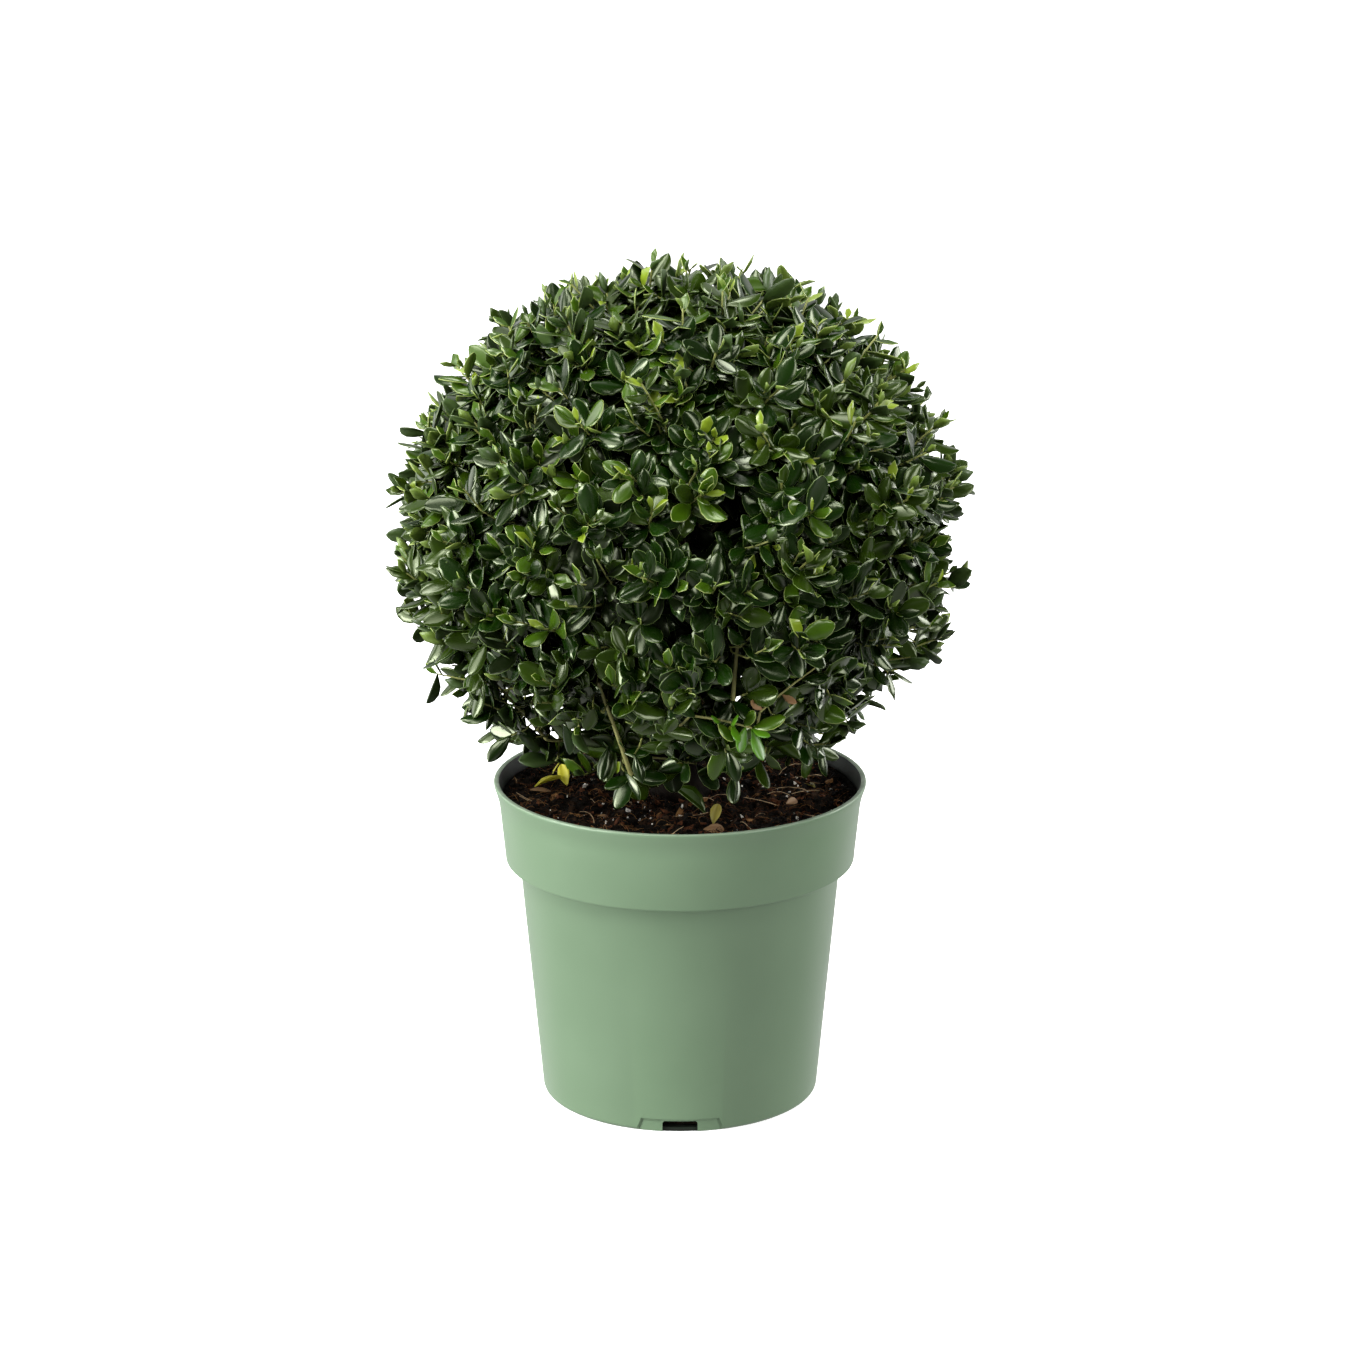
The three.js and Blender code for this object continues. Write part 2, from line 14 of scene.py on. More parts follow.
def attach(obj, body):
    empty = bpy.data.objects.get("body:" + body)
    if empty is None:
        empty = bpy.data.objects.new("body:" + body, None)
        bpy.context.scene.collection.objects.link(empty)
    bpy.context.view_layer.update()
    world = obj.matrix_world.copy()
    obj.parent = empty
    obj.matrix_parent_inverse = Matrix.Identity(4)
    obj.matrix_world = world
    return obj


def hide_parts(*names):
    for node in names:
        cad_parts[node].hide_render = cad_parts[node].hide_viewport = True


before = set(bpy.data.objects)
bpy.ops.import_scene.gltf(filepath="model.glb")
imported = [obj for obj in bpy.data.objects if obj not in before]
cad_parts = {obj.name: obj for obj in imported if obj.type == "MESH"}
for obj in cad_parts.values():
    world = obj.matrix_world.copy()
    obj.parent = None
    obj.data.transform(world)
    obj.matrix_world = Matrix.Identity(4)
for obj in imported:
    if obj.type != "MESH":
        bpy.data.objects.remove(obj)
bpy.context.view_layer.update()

BODY = "root"
GOLDEN_ANGLE = math.pi * (3 - math.sqrt(5))
FULL_TURN = 2 * math.pi
UP = np.array([0.0, 0.0, 1.0])
TWIG_ASIDE = np.array([0.31, 0.87, 0.38])
LEAF_ASIDE = np.array([0.2, 0.3, 0.93])
TINY = 1e-12
RING_TOLERANCE = 1e-5
SKY_HEIGHT = 1.0
SCREEN_LEVELS = 255
SCREEN_KNEE = 0.04045
SCREEN_SLOPE = 12.92
SCREEN_OFFSET = 0.055
SCREEN_POWER = 2.4
PATCH_EDGES = (0.32, 0.68)
GRAIN_DETAIL = 4.0
Colour = tuple[float, float, float]
Place = tuple[float, float, float]
Ring = tuple[float, float]
Span = tuple[float, float]
Array = np.ndarray
log = logging.getLogger("holly")


def linear(red: int, green: int, blue: int) -> Colour:
    """Turns a screen colour into scene-linear values.

    Args:
        red: Red, 0 to 255.
        green: Green, 0 to 255.
        blue: Blue, 0 to 255.

    Returns:
        The three linear values.
    """
    shares = [value / SCREEN_LEVELS for value in (red, green, blue)]
    return tuple(
        share / SCREEN_SLOPE if share <= SCREEN_KNEE
        else ((share + SCREEN_OFFSET) / (1 + SCREEN_OFFSET)) ** SCREEN_POWER
        for share in shares
    )


def unit(vectors: Array) -> Array:
    """Scales vectors to length one."""
    return vectors / np.maximum(np.linalg.norm(vectors, axis=-1, keepdims=True), TINY)


def lerp(first: float | Array, second: float | Array, share: float | Array) -> float | Array:
    """Mixes two values by a share of the second."""
    return first + (second - first) * share


def square_to(along: Array, face: Array) -> Array:
    """Turns each face direction until it stands square to the leaf's length."""
    return unit(face - along * np.sum(face * along, axis=1, keepdims=True))


def polar(radius: float, height: float, azimuth: float) -> Array:
    """Gives the point at a radius, height and azimuth about the upright axis."""
    return np.array([radius * math.cos(azimuth), radius * math.sin(azimuth), height])


def deselect() -> None:
    """Leaves nothing selected, so that an operator takes only what is added next."""
    bpy.ops.object.select_all(action="DESELECT")


def join(pieces: list[bpy.types.Object]) -> bpy.types.Object:
    """Joins pieces into the first of them.

    Args:
        pieces: The objects to join.

    Returns:
        The joined object.
    """
    deselect()
    for piece in pieces:
        piece.select_set(True)
    bpy.context.view_layer.objects.active = pieces[0]
    bpy.ops.object.join()
    return bpy.context.object


def settle(piece: bpy.types.Object, name: str, slot: str, *nodes: str) -> bpy.types.Object:
    """Names a finished piece and hands it to the frame.

    Args:
        piece: The finished object.
        name: Its name.
        slot: The record's material slot; not used.
        nodes: The CAD nodes that it stands in for.

    Returns:
        The same object.
    """
    piece.name = name
    piece.data.name = name
    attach(piece, BODY)
    if nodes:
        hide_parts(*nodes)
    log.info("%s: %d faces", name, len(piece.data.polygons))
    return piece


class Dice:
    """The source's own seeded random numbers."""

    MASK = 0xFFFFFFFF
    STEP = 0x6D2B79F5

    def __init__(self, seed: int) -> None:
        """Starts the row of numbers at a seed."""
        self.state = seed

    def roll(self) -> float:
        """Draws the next number.

        Returns:
            A number from 0 to 1.
        """
        self.state = (self.state + self.STEP) & self.MASK
        mixed = (self.state ^ (self.state >> 15)) * (1 | self.state) & self.MASK
        mixed = (mixed + (mixed ^ (mixed >> 7)) * (61 | mixed)) & self.MASK ^ mixed
        return ((mixed ^ (mixed >> 14)) & self.MASK) / 2**32

    def varied(self, middle: float, share: float) -> float:
        """Draws a value about a middle one."""
        return middle * (1 + share * (2 * self.roll() - 1))


class Graph:
    """Adds and joins the nodes of one node tree."""

    def __init__(self, tree: bpy.types.NodeTree) -> None:
        """Takes the tree to work on."""
        self.tree = tree

    def node(self, kind: str, inputs: dict | None = None, **settings: object) -> bpy.types.Node:
        """Adds a node.

        Args:
            kind: The node's type name.
            inputs: Values or output sockets by input name or place.
            settings: Properties of the node itself.

        Returns:
            The new node.
        """
        made = self.tree.nodes.new(kind)
        for key, value in settings.items():
            setattr(made, key, value)
        for key, value in (inputs or {}).items():
            self.feed(made.inputs[key], value)
        return made

    def feed(self, socket: bpy.types.NodeSocket, value: object) -> None:
        """Joins an output socket to an input, or sets the input's own value.

        Args:
            socket: The input.
            value: An output socket, or a plain value.
        """
        if isinstance(value, bpy.types.NodeSocket):
            self.tree.links.new(value, socket)
        else:
            socket.default_value = value

    def mix(self, factor: object, first: object, second: object) -> bpy.types.NodeSocket:
        """Adds a mix of two colours.

        Args:
            factor: Share of the second.
            first: A colour or an output socket.
            second: The other one.

        Returns:
            The mixed colour's output.
        """
        return self.node("ShaderNodeMix", {0: factor, 6: first, 7: second}, data_type="RGBA").outputs[2]


class Effect(Enum):
    """The node groups that several finishes share."""

    MOTTLE = "uneven_colour"
    GRAIN = "fine_relief"

    def tree(self) -> bpy.types.NodeTree:
        """Gives the group's node tree, made at its first use."""
        found = bpy.data.node_groups.get(self.value)
        return found or (self._mottle() if self is Effect.MOTTLE else self._grain())

    def _start(self, sockets: list[tuple[str, str, str]]) -> tuple[Graph, bpy.types.Node, bpy.types.Node]:
        """Starts a group with its interface.

        Args:
            sockets: Name, direction and socket type of each input and output.

        Returns:
            The graph, its input node and its output node.
        """
        tree = bpy.data.node_groups.new(self.value, "ShaderNodeTree")
        for name, direction, kind in sockets:
            tree.interface.new_socket(name, in_out=direction, socket_type=kind)
        graph = Graph(tree)
        return graph, graph.node("NodeGroupInput"), graph.node("NodeGroupOutput")

    def _mottle(self) -> bpy.types.NodeTree:
        """Makes a colour that drifts between two others in soft patches.

        Returns:
            The group's tree.
        """
        graph, start, end = self._start([
            ("First", "INPUT", "NodeSocketColor"), ("Second", "INPUT", "NodeSocketColor"),
            ("Scale", "INPUT", "NodeSocketFloat"), ("Detail", "INPUT", "NodeSocketFloat"),
            ("Vector", "INPUT", "NodeSocketVector"), ("Colour", "OUTPUT", "NodeSocketColor"),
            ("Mask", "OUTPUT", "NodeSocketFloat"),
        ])
        given = start.outputs
        noise = graph.node("ShaderNodeTexNoise", {key: given[key] for key in ("Vector", "Scale", "Detail")})
        spread = graph.node("ShaderNodeMapRange", {
            "Value": noise.outputs["Fac"], "From Min": PATCH_EDGES[0], "From Max": PATCH_EDGES[1],
        }).outputs["Result"]
        graph.feed(end.inputs["Colour"], graph.mix(spread, given["First"], given["Second"]))
        graph.feed(end.inputs["Mask"], spread)
        return graph.tree

    def _grain(self) -> bpy.types.NodeTree:
        """Makes the height of a fine uneven surface.

        Returns:
            The group's tree.
        """
        graph, start, end = self._start([
            ("Scale", "INPUT", "NodeSocketFloat"), ("Vector", "INPUT", "NodeSocketVector"),
            ("Height", "OUTPUT", "NodeSocketFloat"),
        ])
        noise = graph.node("ShaderNodeTexNoise", {
            "Vector": start.outputs["Vector"], "Scale": start.outputs["Scale"], "Detail": GRAIN_DETAIL,
        })
        graph.feed(end.inputs["Height"], noise.outputs["Fac"])
        return graph.tree


@dataclass(frozen=True)
class PlainFinish:
    """One plain colour for a kind of small thing, dealt out piece by piece."""

    name: str
    colour: Colour
    roughness: float
    specular: float = 0.5
    sheen: Colour = (1.0, 1.0, 1.0)

    def material(self) -> bpy.types.Material:
        """Gives the finish's material, made at its first use.

        Returns:
            The material.
        """
        found = bpy.data.materials.get(self.name)
        if found:
            return found
        made = bpy.data.materials.new(self.name)
        made.use_nodes = True
        inputs = made.node_tree.nodes["Principled BSDF"].inputs
        inputs["Base Color"].default_value = (*self.colour, 1)
        inputs["Roughness"].default_value = self.roughness
        inputs["Specular IOR Level"].default_value = self.specular
        inputs["Specular Tint"].default_value = (*self.sheen, 1)
        return made


@dataclass(frozen=True)
class MottledFinish:
    """A surface whose colour drifts in patches and whose skin has a fine relief."""

    name: str
    first: Colour
    second: Colour
    patch_scale: float
    patch_detail: float
    grain_scale: float
    grain_strength: float
    grain_depth: float
    roughness: Span
    specular: float = 0.5

    def material(self) -> bpy.types.Material:
        """Gives the finish's material, made at its first use.

        Returns:
            The material.
        """
        found = bpy.data.materials.get(self.name)
        if found:
            return found
        made = bpy.data.materials.new(self.name)
        made.use_nodes = True
        graph = Graph(made.node_tree)
        shader = made.node_tree.nodes["Principled BSDF"]
        place = graph.node("ShaderNodeTexCoord").outputs["Object"]
        mottle = graph.node("ShaderNodeGroup", node_tree=Effect.MOTTLE.tree())
        for key, value in {
            "First": (*self.first, 1), "Second": (*self.second, 1), "Scale": self.patch_scale,
            "Detail": self.patch_detail, "Vector": place,
        }.items():
            graph.feed(mottle.inputs[key], value)
        grain = graph.node("ShaderNodeGroup", node_tree=Effect.GRAIN.tree())
        graph.feed(grain.inputs["Scale"], self.grain_scale)
        graph.feed(grain.inputs["Vector"], place)
        bump = graph.node("ShaderNodeBump", {
            "Strength": self.grain_strength, "Distance": self.grain_depth, "Height": grain.outputs["Height"],
        })
        gloss = graph.node("ShaderNodeMapRange", {
            "Value": mottle.outputs["Mask"], "To Min": self.roughness[0], "To Max": self.roughness[1],
        })
        graph.feed(shader.inputs["Base Color"], mottle.outputs["Colour"])
        graph.feed(shader.inputs["Roughness"], gloss.outputs["Result"])
        graph.feed(shader.inputs["Normal"], bump.outputs["Normal"])
        shader.inputs["Specular IOR Level"].default_value = self.specular
        return made


Finish = PlainFinish | MottledFinish


class Pile:
    """Many small shapes gathered into one mesh."""

    def __init__(self) -> None:
        """Starts empty."""
        self.points: list[Array] = []
        self.faces: list[Array] = []
        self.slots: list[Array] = []
        self.total = 0

    def add(self, points: Array, faces: Array, slots: Array) -> None:
        """Adds copies of one shape.

        Args:
            points: Corners of every copy, copies by corners by three.
            faces: Corner numbers of the shape's four-sided faces.
            slots: Material place of every face, copies by faces.
        """
        copies, corners = points.shape[:2]
        starts = self.total + corners * np.arange(copies)
        self.points.append(points.reshape(-1, 3))
        self.faces.append((faces[None] + starts[:, None, None]).reshape(-1, 4))
        self.slots.append(np.broadcast_to(slots, (copies, len(faces))).reshape(-1))
        self.total += copies * corners

    def build(self, name: str, finishes: list[Finish], smooth: bool = True) -> bpy.types.Object:
        """Makes the joined mesh.

        Args:
            name: The object's name.
            finishes: The materials by place.
            smooth: Whether its faces are shaded as one soft surface.

        Returns:
            The new object.
        """
        mesh = bpy.data.meshes.new(name)
        mesh.from_pydata(np.concatenate(self.points).tolist(), [], np.concatenate(self.faces).tolist())
        for finish in finishes:
            mesh.materials.append(finish.material())
        mesh.polygons.foreach_set("material_index", np.concatenate(self.slots).astype(np.int32))
        mesh.polygons.foreach_set("use_smooth", np.full(len(mesh.polygons), smooth))
        mesh.update()
        piece = bpy.data.objects.new(name, mesh)
        bpy.context.collection.objects.link(piece)
        return piece


def sleeve(rings: int, sides: int) -> list[tuple[int, int, int, int]]:
    """Lists the faces that join equal rings of corners.

    Args:
        rings: How many rings.
        sides: Corners of a ring.

    Returns:
        Corner numbers of each face, ring by ring.
    """
    faces = []
    for ring in range(rings - 1):
        low, high = ring * sides, (ring + 1) * sides
        for side in range(sides):
            after = (side + 1) % sides
            faces.append((low + side, low + after, high + after, high + side))
    return faces


@dataclass
class Twigs:
    """Many bent twigs of one order, each a curve through foot, bend and tip."""

    foot: Array
    bend: Array
    tip: Array
    foot_radius: Array
    tip_radius: Array

    def point(self, share: Array) -> Array:
        """Gives the points at shares of the length, one for each twig."""
        share = np.asarray(share)[..., None]
        return (1 - share) ** 2 * self.foot + 2 * share * (1 - share) * self.bend + share**2 * self.tip

    def heading(self, share: Array) -> Array:
        """Gives the directions at shares of the length."""
        share = np.asarray(share)[..., None]
        return unit((1 - share) * (self.bend - self.foot) + share * (self.tip - self.bend))

    def chosen(self, rows: Array) -> "Twigs":
        """Gives the twigs of some rows."""
        return Twigs(*(getattr(self, part)[rows] for part in self.__dataclass_fields__))

    def tubes(self, sides: int, rings: int) -> tuple[Array, Array]:
        """Makes a tapered tube for every twig.

        Args:
            sides: Sides of a tube.
            rings: Rings along it.

        Returns:
            Corners by twig, and the faces of one tube.
        """
        count = len(self.foot)
        shares = np.linspace(0, 1, rings)
        middle = np.stack([self.point(np.full(count, share)) for share in shares], axis=1)
        along = np.stack([self.heading(np.full(count, share)) for share in shares], axis=1)
        first = unit(np.cross(along, TWIG_ASIDE))
        second = np.cross(along, first)
        radius = lerp(self.foot_radius[:, None], self.tip_radius[:, None], shares[None])
        turns = FULL_TURN * np.arange(sides) / sides
        wheel = first[:, :, None] * np.cos(turns)[:, None] + second[:, :, None] * np.sin(turns)[:, None]
        points = middle[:, :, None] + wheel * radius[:, :, None, None]
        return points.reshape(count, -1, 3), np.array(sleeve(rings, sides))


class Surface(IntEnum):
    """The kinds of surface on a leaf."""

    BLADE = 0
    MARGIN = 1
    UNDER = 2


class Tone(IntEnum):
    """The colours that leaves are dealt, by their places."""

    # Painted shade: the darkest tone, for leaves in the crown's shadow.
    DEEP_SHADE = 0
    DARK = 1
    MID = 2
    OLIVE = 3
    YOUNG = 4
    TIP = 5
    YELLOW = 6
    SCORCHED = 7
    FALLEN = 8
    FRESH = 9


LEAF_SHEEN: Colour = (0.90, 1.0, 0.68)
LEAF_FINISHES: list[PlainFinish] = [
    # The darkest finish is painted shade, a near-black green with little gloss.
    PlainFinish("leaf_deep_shade", linear(8, 17, 2), 0.30, 0.3, LEAF_SHEEN),
    PlainFinish("leaf_dark", linear(9, 26, 1), 0.23, 0.5, LEAF_SHEEN),
    PlainFinish("leaf_mid", linear(12, 34, 1), 0.23, 0.5, LEAF_SHEEN),
    PlainFinish("leaf_olive", linear(31, 48, 2), 0.25, 0.5, LEAF_SHEEN),
    PlainFinish("leaf_young", linear(47, 72, 5), 0.27, 0.5, LEAF_SHEEN),
    PlainFinish("leaf_tip", linear(112, 132, 28), 0.32),
    PlainFinish("leaf_yellow", linear(134, 124, 52), 0.45),
    PlainFinish("leaf_scorched", linear(126, 95, 60), 0.65),
    PlainFinish("leaf_fallen", linear(184, 178, 42), 0.55),
    PlainFinish("leaf_fresh", linear(64, 106, 12), 0.32, 0.4),
    # The margin finishes are partly the leaf's own pale edge and partly painted highlight where the edges catch
    # the light.
    PlainFinish("leaf_pale_margin_painted_light", linear(78, 96, 46), 0.32),
    PlainFinish("leaf_pale_margin_painted_light_young", linear(134, 148, 76), 0.34),
    PlainFinish("leaf_under", linear(54, 74, 31), 0.44),
    PlainFinish("leaf_under_young", linear(92, 113, 40), 0.44),
]
MARGIN_AND_EDGE_LIGHT_SLOT = 10
UNDER_SLOT = 12


@dataclass(frozen=True)
class Blade:
    """A leaf's outline and the columns of its upper side.

    A row is a share of the length and a share of the half width, from the foot to the tip. A column stands
    between the margins at a share of the half width.
    """

    rows: tuple[Span, ...]
    columns: tuple[float, ...]


GROWN_BLADE = Blade(
    ((0.0, 0.10), (0.14, 0.40), (0.36, 0.86), (0.62, 1.0), (0.84, 0.74), (0.95, 0.40), (1.0, 0.10)),
    (-0.5, 0.0, 0.5),
)
SMALL_BLADE = Blade(((0.0, 0.14), (0.30, 0.80), (0.68, 0.96), (1.0, 0.10)), (0.0,))
INNER_BLADE = Blade(((0.0, 0.16), (0.52, 1.0), (1.0, 0.12)), (0.0,))


@dataclass
class Leaves:
    """Many leaves, each with a place, a pose and a size."""

    foot: Array
    along: Array
    face: Array
    length: Array
    width: Array
    curl: Array
    cup: Array
    tone: Array

    MARGIN = 0.00025
    MARGIN_LIMIT = 0.6
    THICKNESS = 0.00035
    GROOVE = 0.10
    LEAST_CURL = 1e-3
    RIM_CORNERS = 5

    def __len__(self) -> int:
        """Counts the leaves."""
        return len(self.foot)

    def ends(self) -> Array:
        """Gives the places of the tips, as if the leaves were flat."""
        return self.foot + self.along * self.length[:, None]

    def chosen(self, rows: Array) -> "Leaves":
        """Gives the leaves of some rows."""
        return Leaves(*(getattr(self, part)[rows] for part in self.__dataclass_fields__))

    @staticmethod
    def joined(lots: list["Leaves"]) -> "Leaves":
        """Joins several lots of leaves."""
        parts = Leaves.__dataclass_fields__
        return Leaves(*(np.concatenate([getattr(lot, part) for lot in lots]) for part in parts))

    def heap(self, pile: Pile, blade: Blade) -> None:
        """Adds every leaf to a pile as a thin closed blade with a bevelled margin.

        Args:
            pile: Where they are gathered.
            blade: Their outline.
        """
        rings = [self.section(share, wide, blade.columns) for share, wide in blade.rows]
        faces, kinds = self.skin(len(blade.rows), len(blade.columns))
        pile.add(np.concatenate(rings, axis=1), faces, self.slots(kinds))

    def section(self, share: float, wide: float, columns: tuple[float, ...]) -> Array:
        """Gives the corners of every leaf's cross section at one place of its length.

        Args:
            share: Share of the length.
            wide: Share of the half width there.
            columns: Places between the margins, shares of the half width.

        Returns:
            Corners, leaves by corners by three.
        """
        bend = np.where(np.abs(self.curl) < self.LEAST_CURL, self.LEAST_CURL, self.curl)
        across = np.cross(self.face, self.along)
        half = 0.5 * self.width * wide
        turn = bend * share
        reach = self.length * np.sin(turn) / bend
        drop = -self.length * (1 - np.cos(turn)) / bend
        ahead = self.along * np.cos(turn)[:, None] - self.face * np.sin(turn)[:, None]
        normal = unit(np.cross(ahead, across))
        middle = self.foot + self.along * reach[:, None] + self.face * drop[:, None]
        inset = np.minimum(self.MARGIN, self.MARGIN_LIMIT * half)
        edge = -self.cup * half - self.THICKNESS
        sides, heights = [-half], [edge]
        for place in (-1.0, *columns, 1.0):
            groove = self.GROOVE * half if place == 0 else 0.0
            sides.append(place * (half - inset))
            heights.append(-self.cup * half * place**2 - groove)
        sides += [half, np.zeros(len(self))]
        heights += [edge, -self.GROOVE * half - self.THICKNESS]
        corners = [middle + across * s[:, None] + normal * h[:, None] for s, h in zip(sides, heights)]
        return np.stack(corners, axis=1)

    def skin(self, rows: int, columns: int) -> tuple[Array, Array]:
        """Joins the cross sections of one leaf and closes its two ends.

        Args:
            rows: How many cross sections.
            columns: How many columns stand between the margins.

        Returns:
            Faces of the leaf and the kind of surface of each.
        """
        size = columns + self.RIM_CORNERS
        strip = [Surface.MARGIN] + [Surface.BLADE] * (columns + 1) + [Surface.MARGIN] + [Surface.UNDER] * 2
        faces = sleeve(rows, size)
        kinds = strip * (rows - 1)
        last = (rows - 1) * size
        for side in range((size - 2) // 2):
            corner = (side, size - 1 - side, size - 2 - side, side + 1)
            faces += [corner, tuple(last + number for number in reversed(corner))]
            kinds += [Surface.MARGIN] * 2
        return np.array(faces), np.array(kinds)

    def slots(self, kinds: Array) -> Array:
        """Deals the material places of the leaves' faces.

        Args:
            kinds: Kind of surface of each face of a leaf.

        Returns:
            Material places, leaves by faces.
        """
        young = (self.tone >= Tone.YOUNG).astype(int)
        plain = self.tone >= Tone.YELLOW
        margin = np.where(plain, self.tone, MARGIN_AND_EDGE_LIGHT_SLOT + young)
        under = np.where(plain, self.tone, UNDER_SLOT + young)
        return np.stack([self.tone, margin, under], axis=1)[:, kinds]


@dataclass
class Ball:
    """The clipped outline of the shrub."""

    centre: float = 0.3597
    radius: float = 0.180
    top_radius: float = 0.1685
    tuck: float = 0.17
    tuck_start: float = -0.52
    tuck_shift: float = 0.09
    tuck_reach: float = 0.30

    def girth(self, rises: Array, azimuths: Array) -> Array:
        """Tells how far the skirt is drawn in.

        Args:
            rises: Heights above the centre, as shares of the radius.
            azimuths: Angles about the upright.

        Returns:
            Shares of the full width.
        """
        start = self.tuck_start + self.tuck_shift * np.cos(azimuths)
        return 1 - self.tuck * np.clip((start - rises) / self.tuck_reach, 0, 1)

    def point(self, directions: Array, shares: Array) -> Array:
        """Gives the points at shares of the outline along directions.

        Args:
            directions: Unit directions from the centre.
            shares: Shares of the outline.

        Returns:
            The points.
        """
        half = np.where(directions[:, 2] > 0, self.top_radius, self.radius)
        wide = self.radius * self.girth(directions[:, 2], np.arctan2(directions[:, 1], directions[:, 0]))
        axes = np.stack([wide, wide, half], axis=1)
        return directions * axes * np.asarray(shares).reshape(-1, 1) + UP * self.centre

    def share(self, points: Array) -> Array:
        """Tells how far out points stand.

        Args:
            points: The points.

        Returns:
            Shares of the outline.
        """
        offset = points - UP * self.centre
        half = np.where(offset[:, 2] > 0, self.top_radius, self.radius)
        wide = self.radius * self.girth(offset[:, 2] / self.radius, np.arctan2(offset[:, 1], offset[:, 0]))
        return np.sqrt((offset[:, 0] ** 2 + offset[:, 1] ** 2) / wide**2 + (offset[:, 2] / half) ** 2)

    def highness(self, points: Array) -> Array:
        """Tells how high points stand above the centre, as shares of the radius."""
        return (points[:, 2] - self.centre) / self.radius

    def outward(self, points: Array) -> Array:
        """Gives the directions from the centre to points."""
        return unit(points - UP * self.centre)


def golden_directions(count: int, highest: float, lowest: float) -> Array:
    """Spreads directions evenly over a band of the ball, each a golden angle on from the last.

    Args:
        count: How many.
        highest: Upper edge of the band, degrees above the horizon.
        lowest: Its lower edge.

    Returns:
        Unit directions.
    """
    index = np.arange(count)
    rise = lerp(math.sin(math.radians(highest)), math.sin(math.radians(lowest)), (index + 0.5) / count)
    flat = np.sqrt(1 - rise**2)
    turn = index * GOLDEN_ANGLE
    return np.stack([flat * np.cos(turn), flat * np.sin(turn), rise], axis=1)


def cut(piece: bpy.types.Object, tool: bpy.types.Object) -> None:
    """Cuts an object with another one, which is used up.

    Args:
        piece: The object that stays.
        tool: The object that cuts it.
    """
    bpy.context.view_layer.objects.active = piece
    bpy.ops.object.modifier_add(type="BOOLEAN")
    modifier = piece.modifiers[-1]
    modifier.operation = "DIFFERENCE"
    modifier.solver = "EXACT"
    modifier.object = tool
    bpy.ops.object.modifier_apply(modifier=modifier.name)
    bpy.data.objects.remove(tool)


def turned(rings: list[Ring], segments: int) -> bpy.types.Object:
    """Models a closed round body by pulling one disc up from ring to ring.

    Args:
        rings: Radius and height of each ring, from the first disc to the last.
        segments: Sides of the rings.

    Returns:
        The new object.
    """
    deselect()
    radius, height = rings[0]
    bpy.ops.mesh.primitive_circle_add(
        vertices=segments, radius=radius, fill_type="NGON", location=(0, 0, height))
    body = bpy.context.object
    bpy.ops.object.transform_apply(location=True, rotation=True, scale=True)
    bpy.ops.object.mode_set(mode="EDIT")
    bpy.ops.mesh.select_all(action="SELECT")
    for next_radius, next_height in rings[1:]:
        bpy.ops.mesh.extrude_region_move(TRANSFORM_OT_translate={"value": (0, 0, next_height - height)})
        share = next_radius / radius
        bpy.ops.transform.resize(value=(share, share, 1), center_override=(0, 0, next_height))
        radius, height = next_radius, next_height
    bpy.ops.mesh.select_all(action="SELECT")
    bpy.ops.mesh.normals_make_consistent(inside=False)
    bpy.ops.object.mode_set(mode="OBJECT")
    return body


def round_ring(body: bpy.types.Object, ring: Ring, width: float, steps: int) -> None:
    """Rounds the edge of one ring of a turned body.

    Args:
        body: The turned object.
        ring: The ring's radius and height.
        width: How far the rounding reaches.
        steps: Its facets.
    """
    spots = [(math.hypot(vertex.co.x, vertex.co.y), vertex.co.z) for vertex in body.data.vertices]
    near = [math.dist(spot, ring) < RING_TOLERANCE for spot in spots]
    bpy.ops.object.mode_set(mode="EDIT")
    bpy.ops.mesh.select_mode(type="EDGE")
    bpy.ops.mesh.select_all(action="DESELECT")
    bpy.ops.object.mode_set(mode="OBJECT")
    for edge in body.data.edges:
        edge.select = all(near[corner] for corner in edge.vertices)
    bpy.ops.object.mode_set(mode="EDIT")
    bpy.ops.mesh.bevel(offset=width, offset_type="OFFSET", segments=steps, affect="EDGES")
    bpy.ops.object.mode_set(mode="OBJECT")


class Coat(IntEnum):
    """The pot's finishes, by their places."""

    OUTSIDE = 0
    INSIDE = 1
    RIM = 2


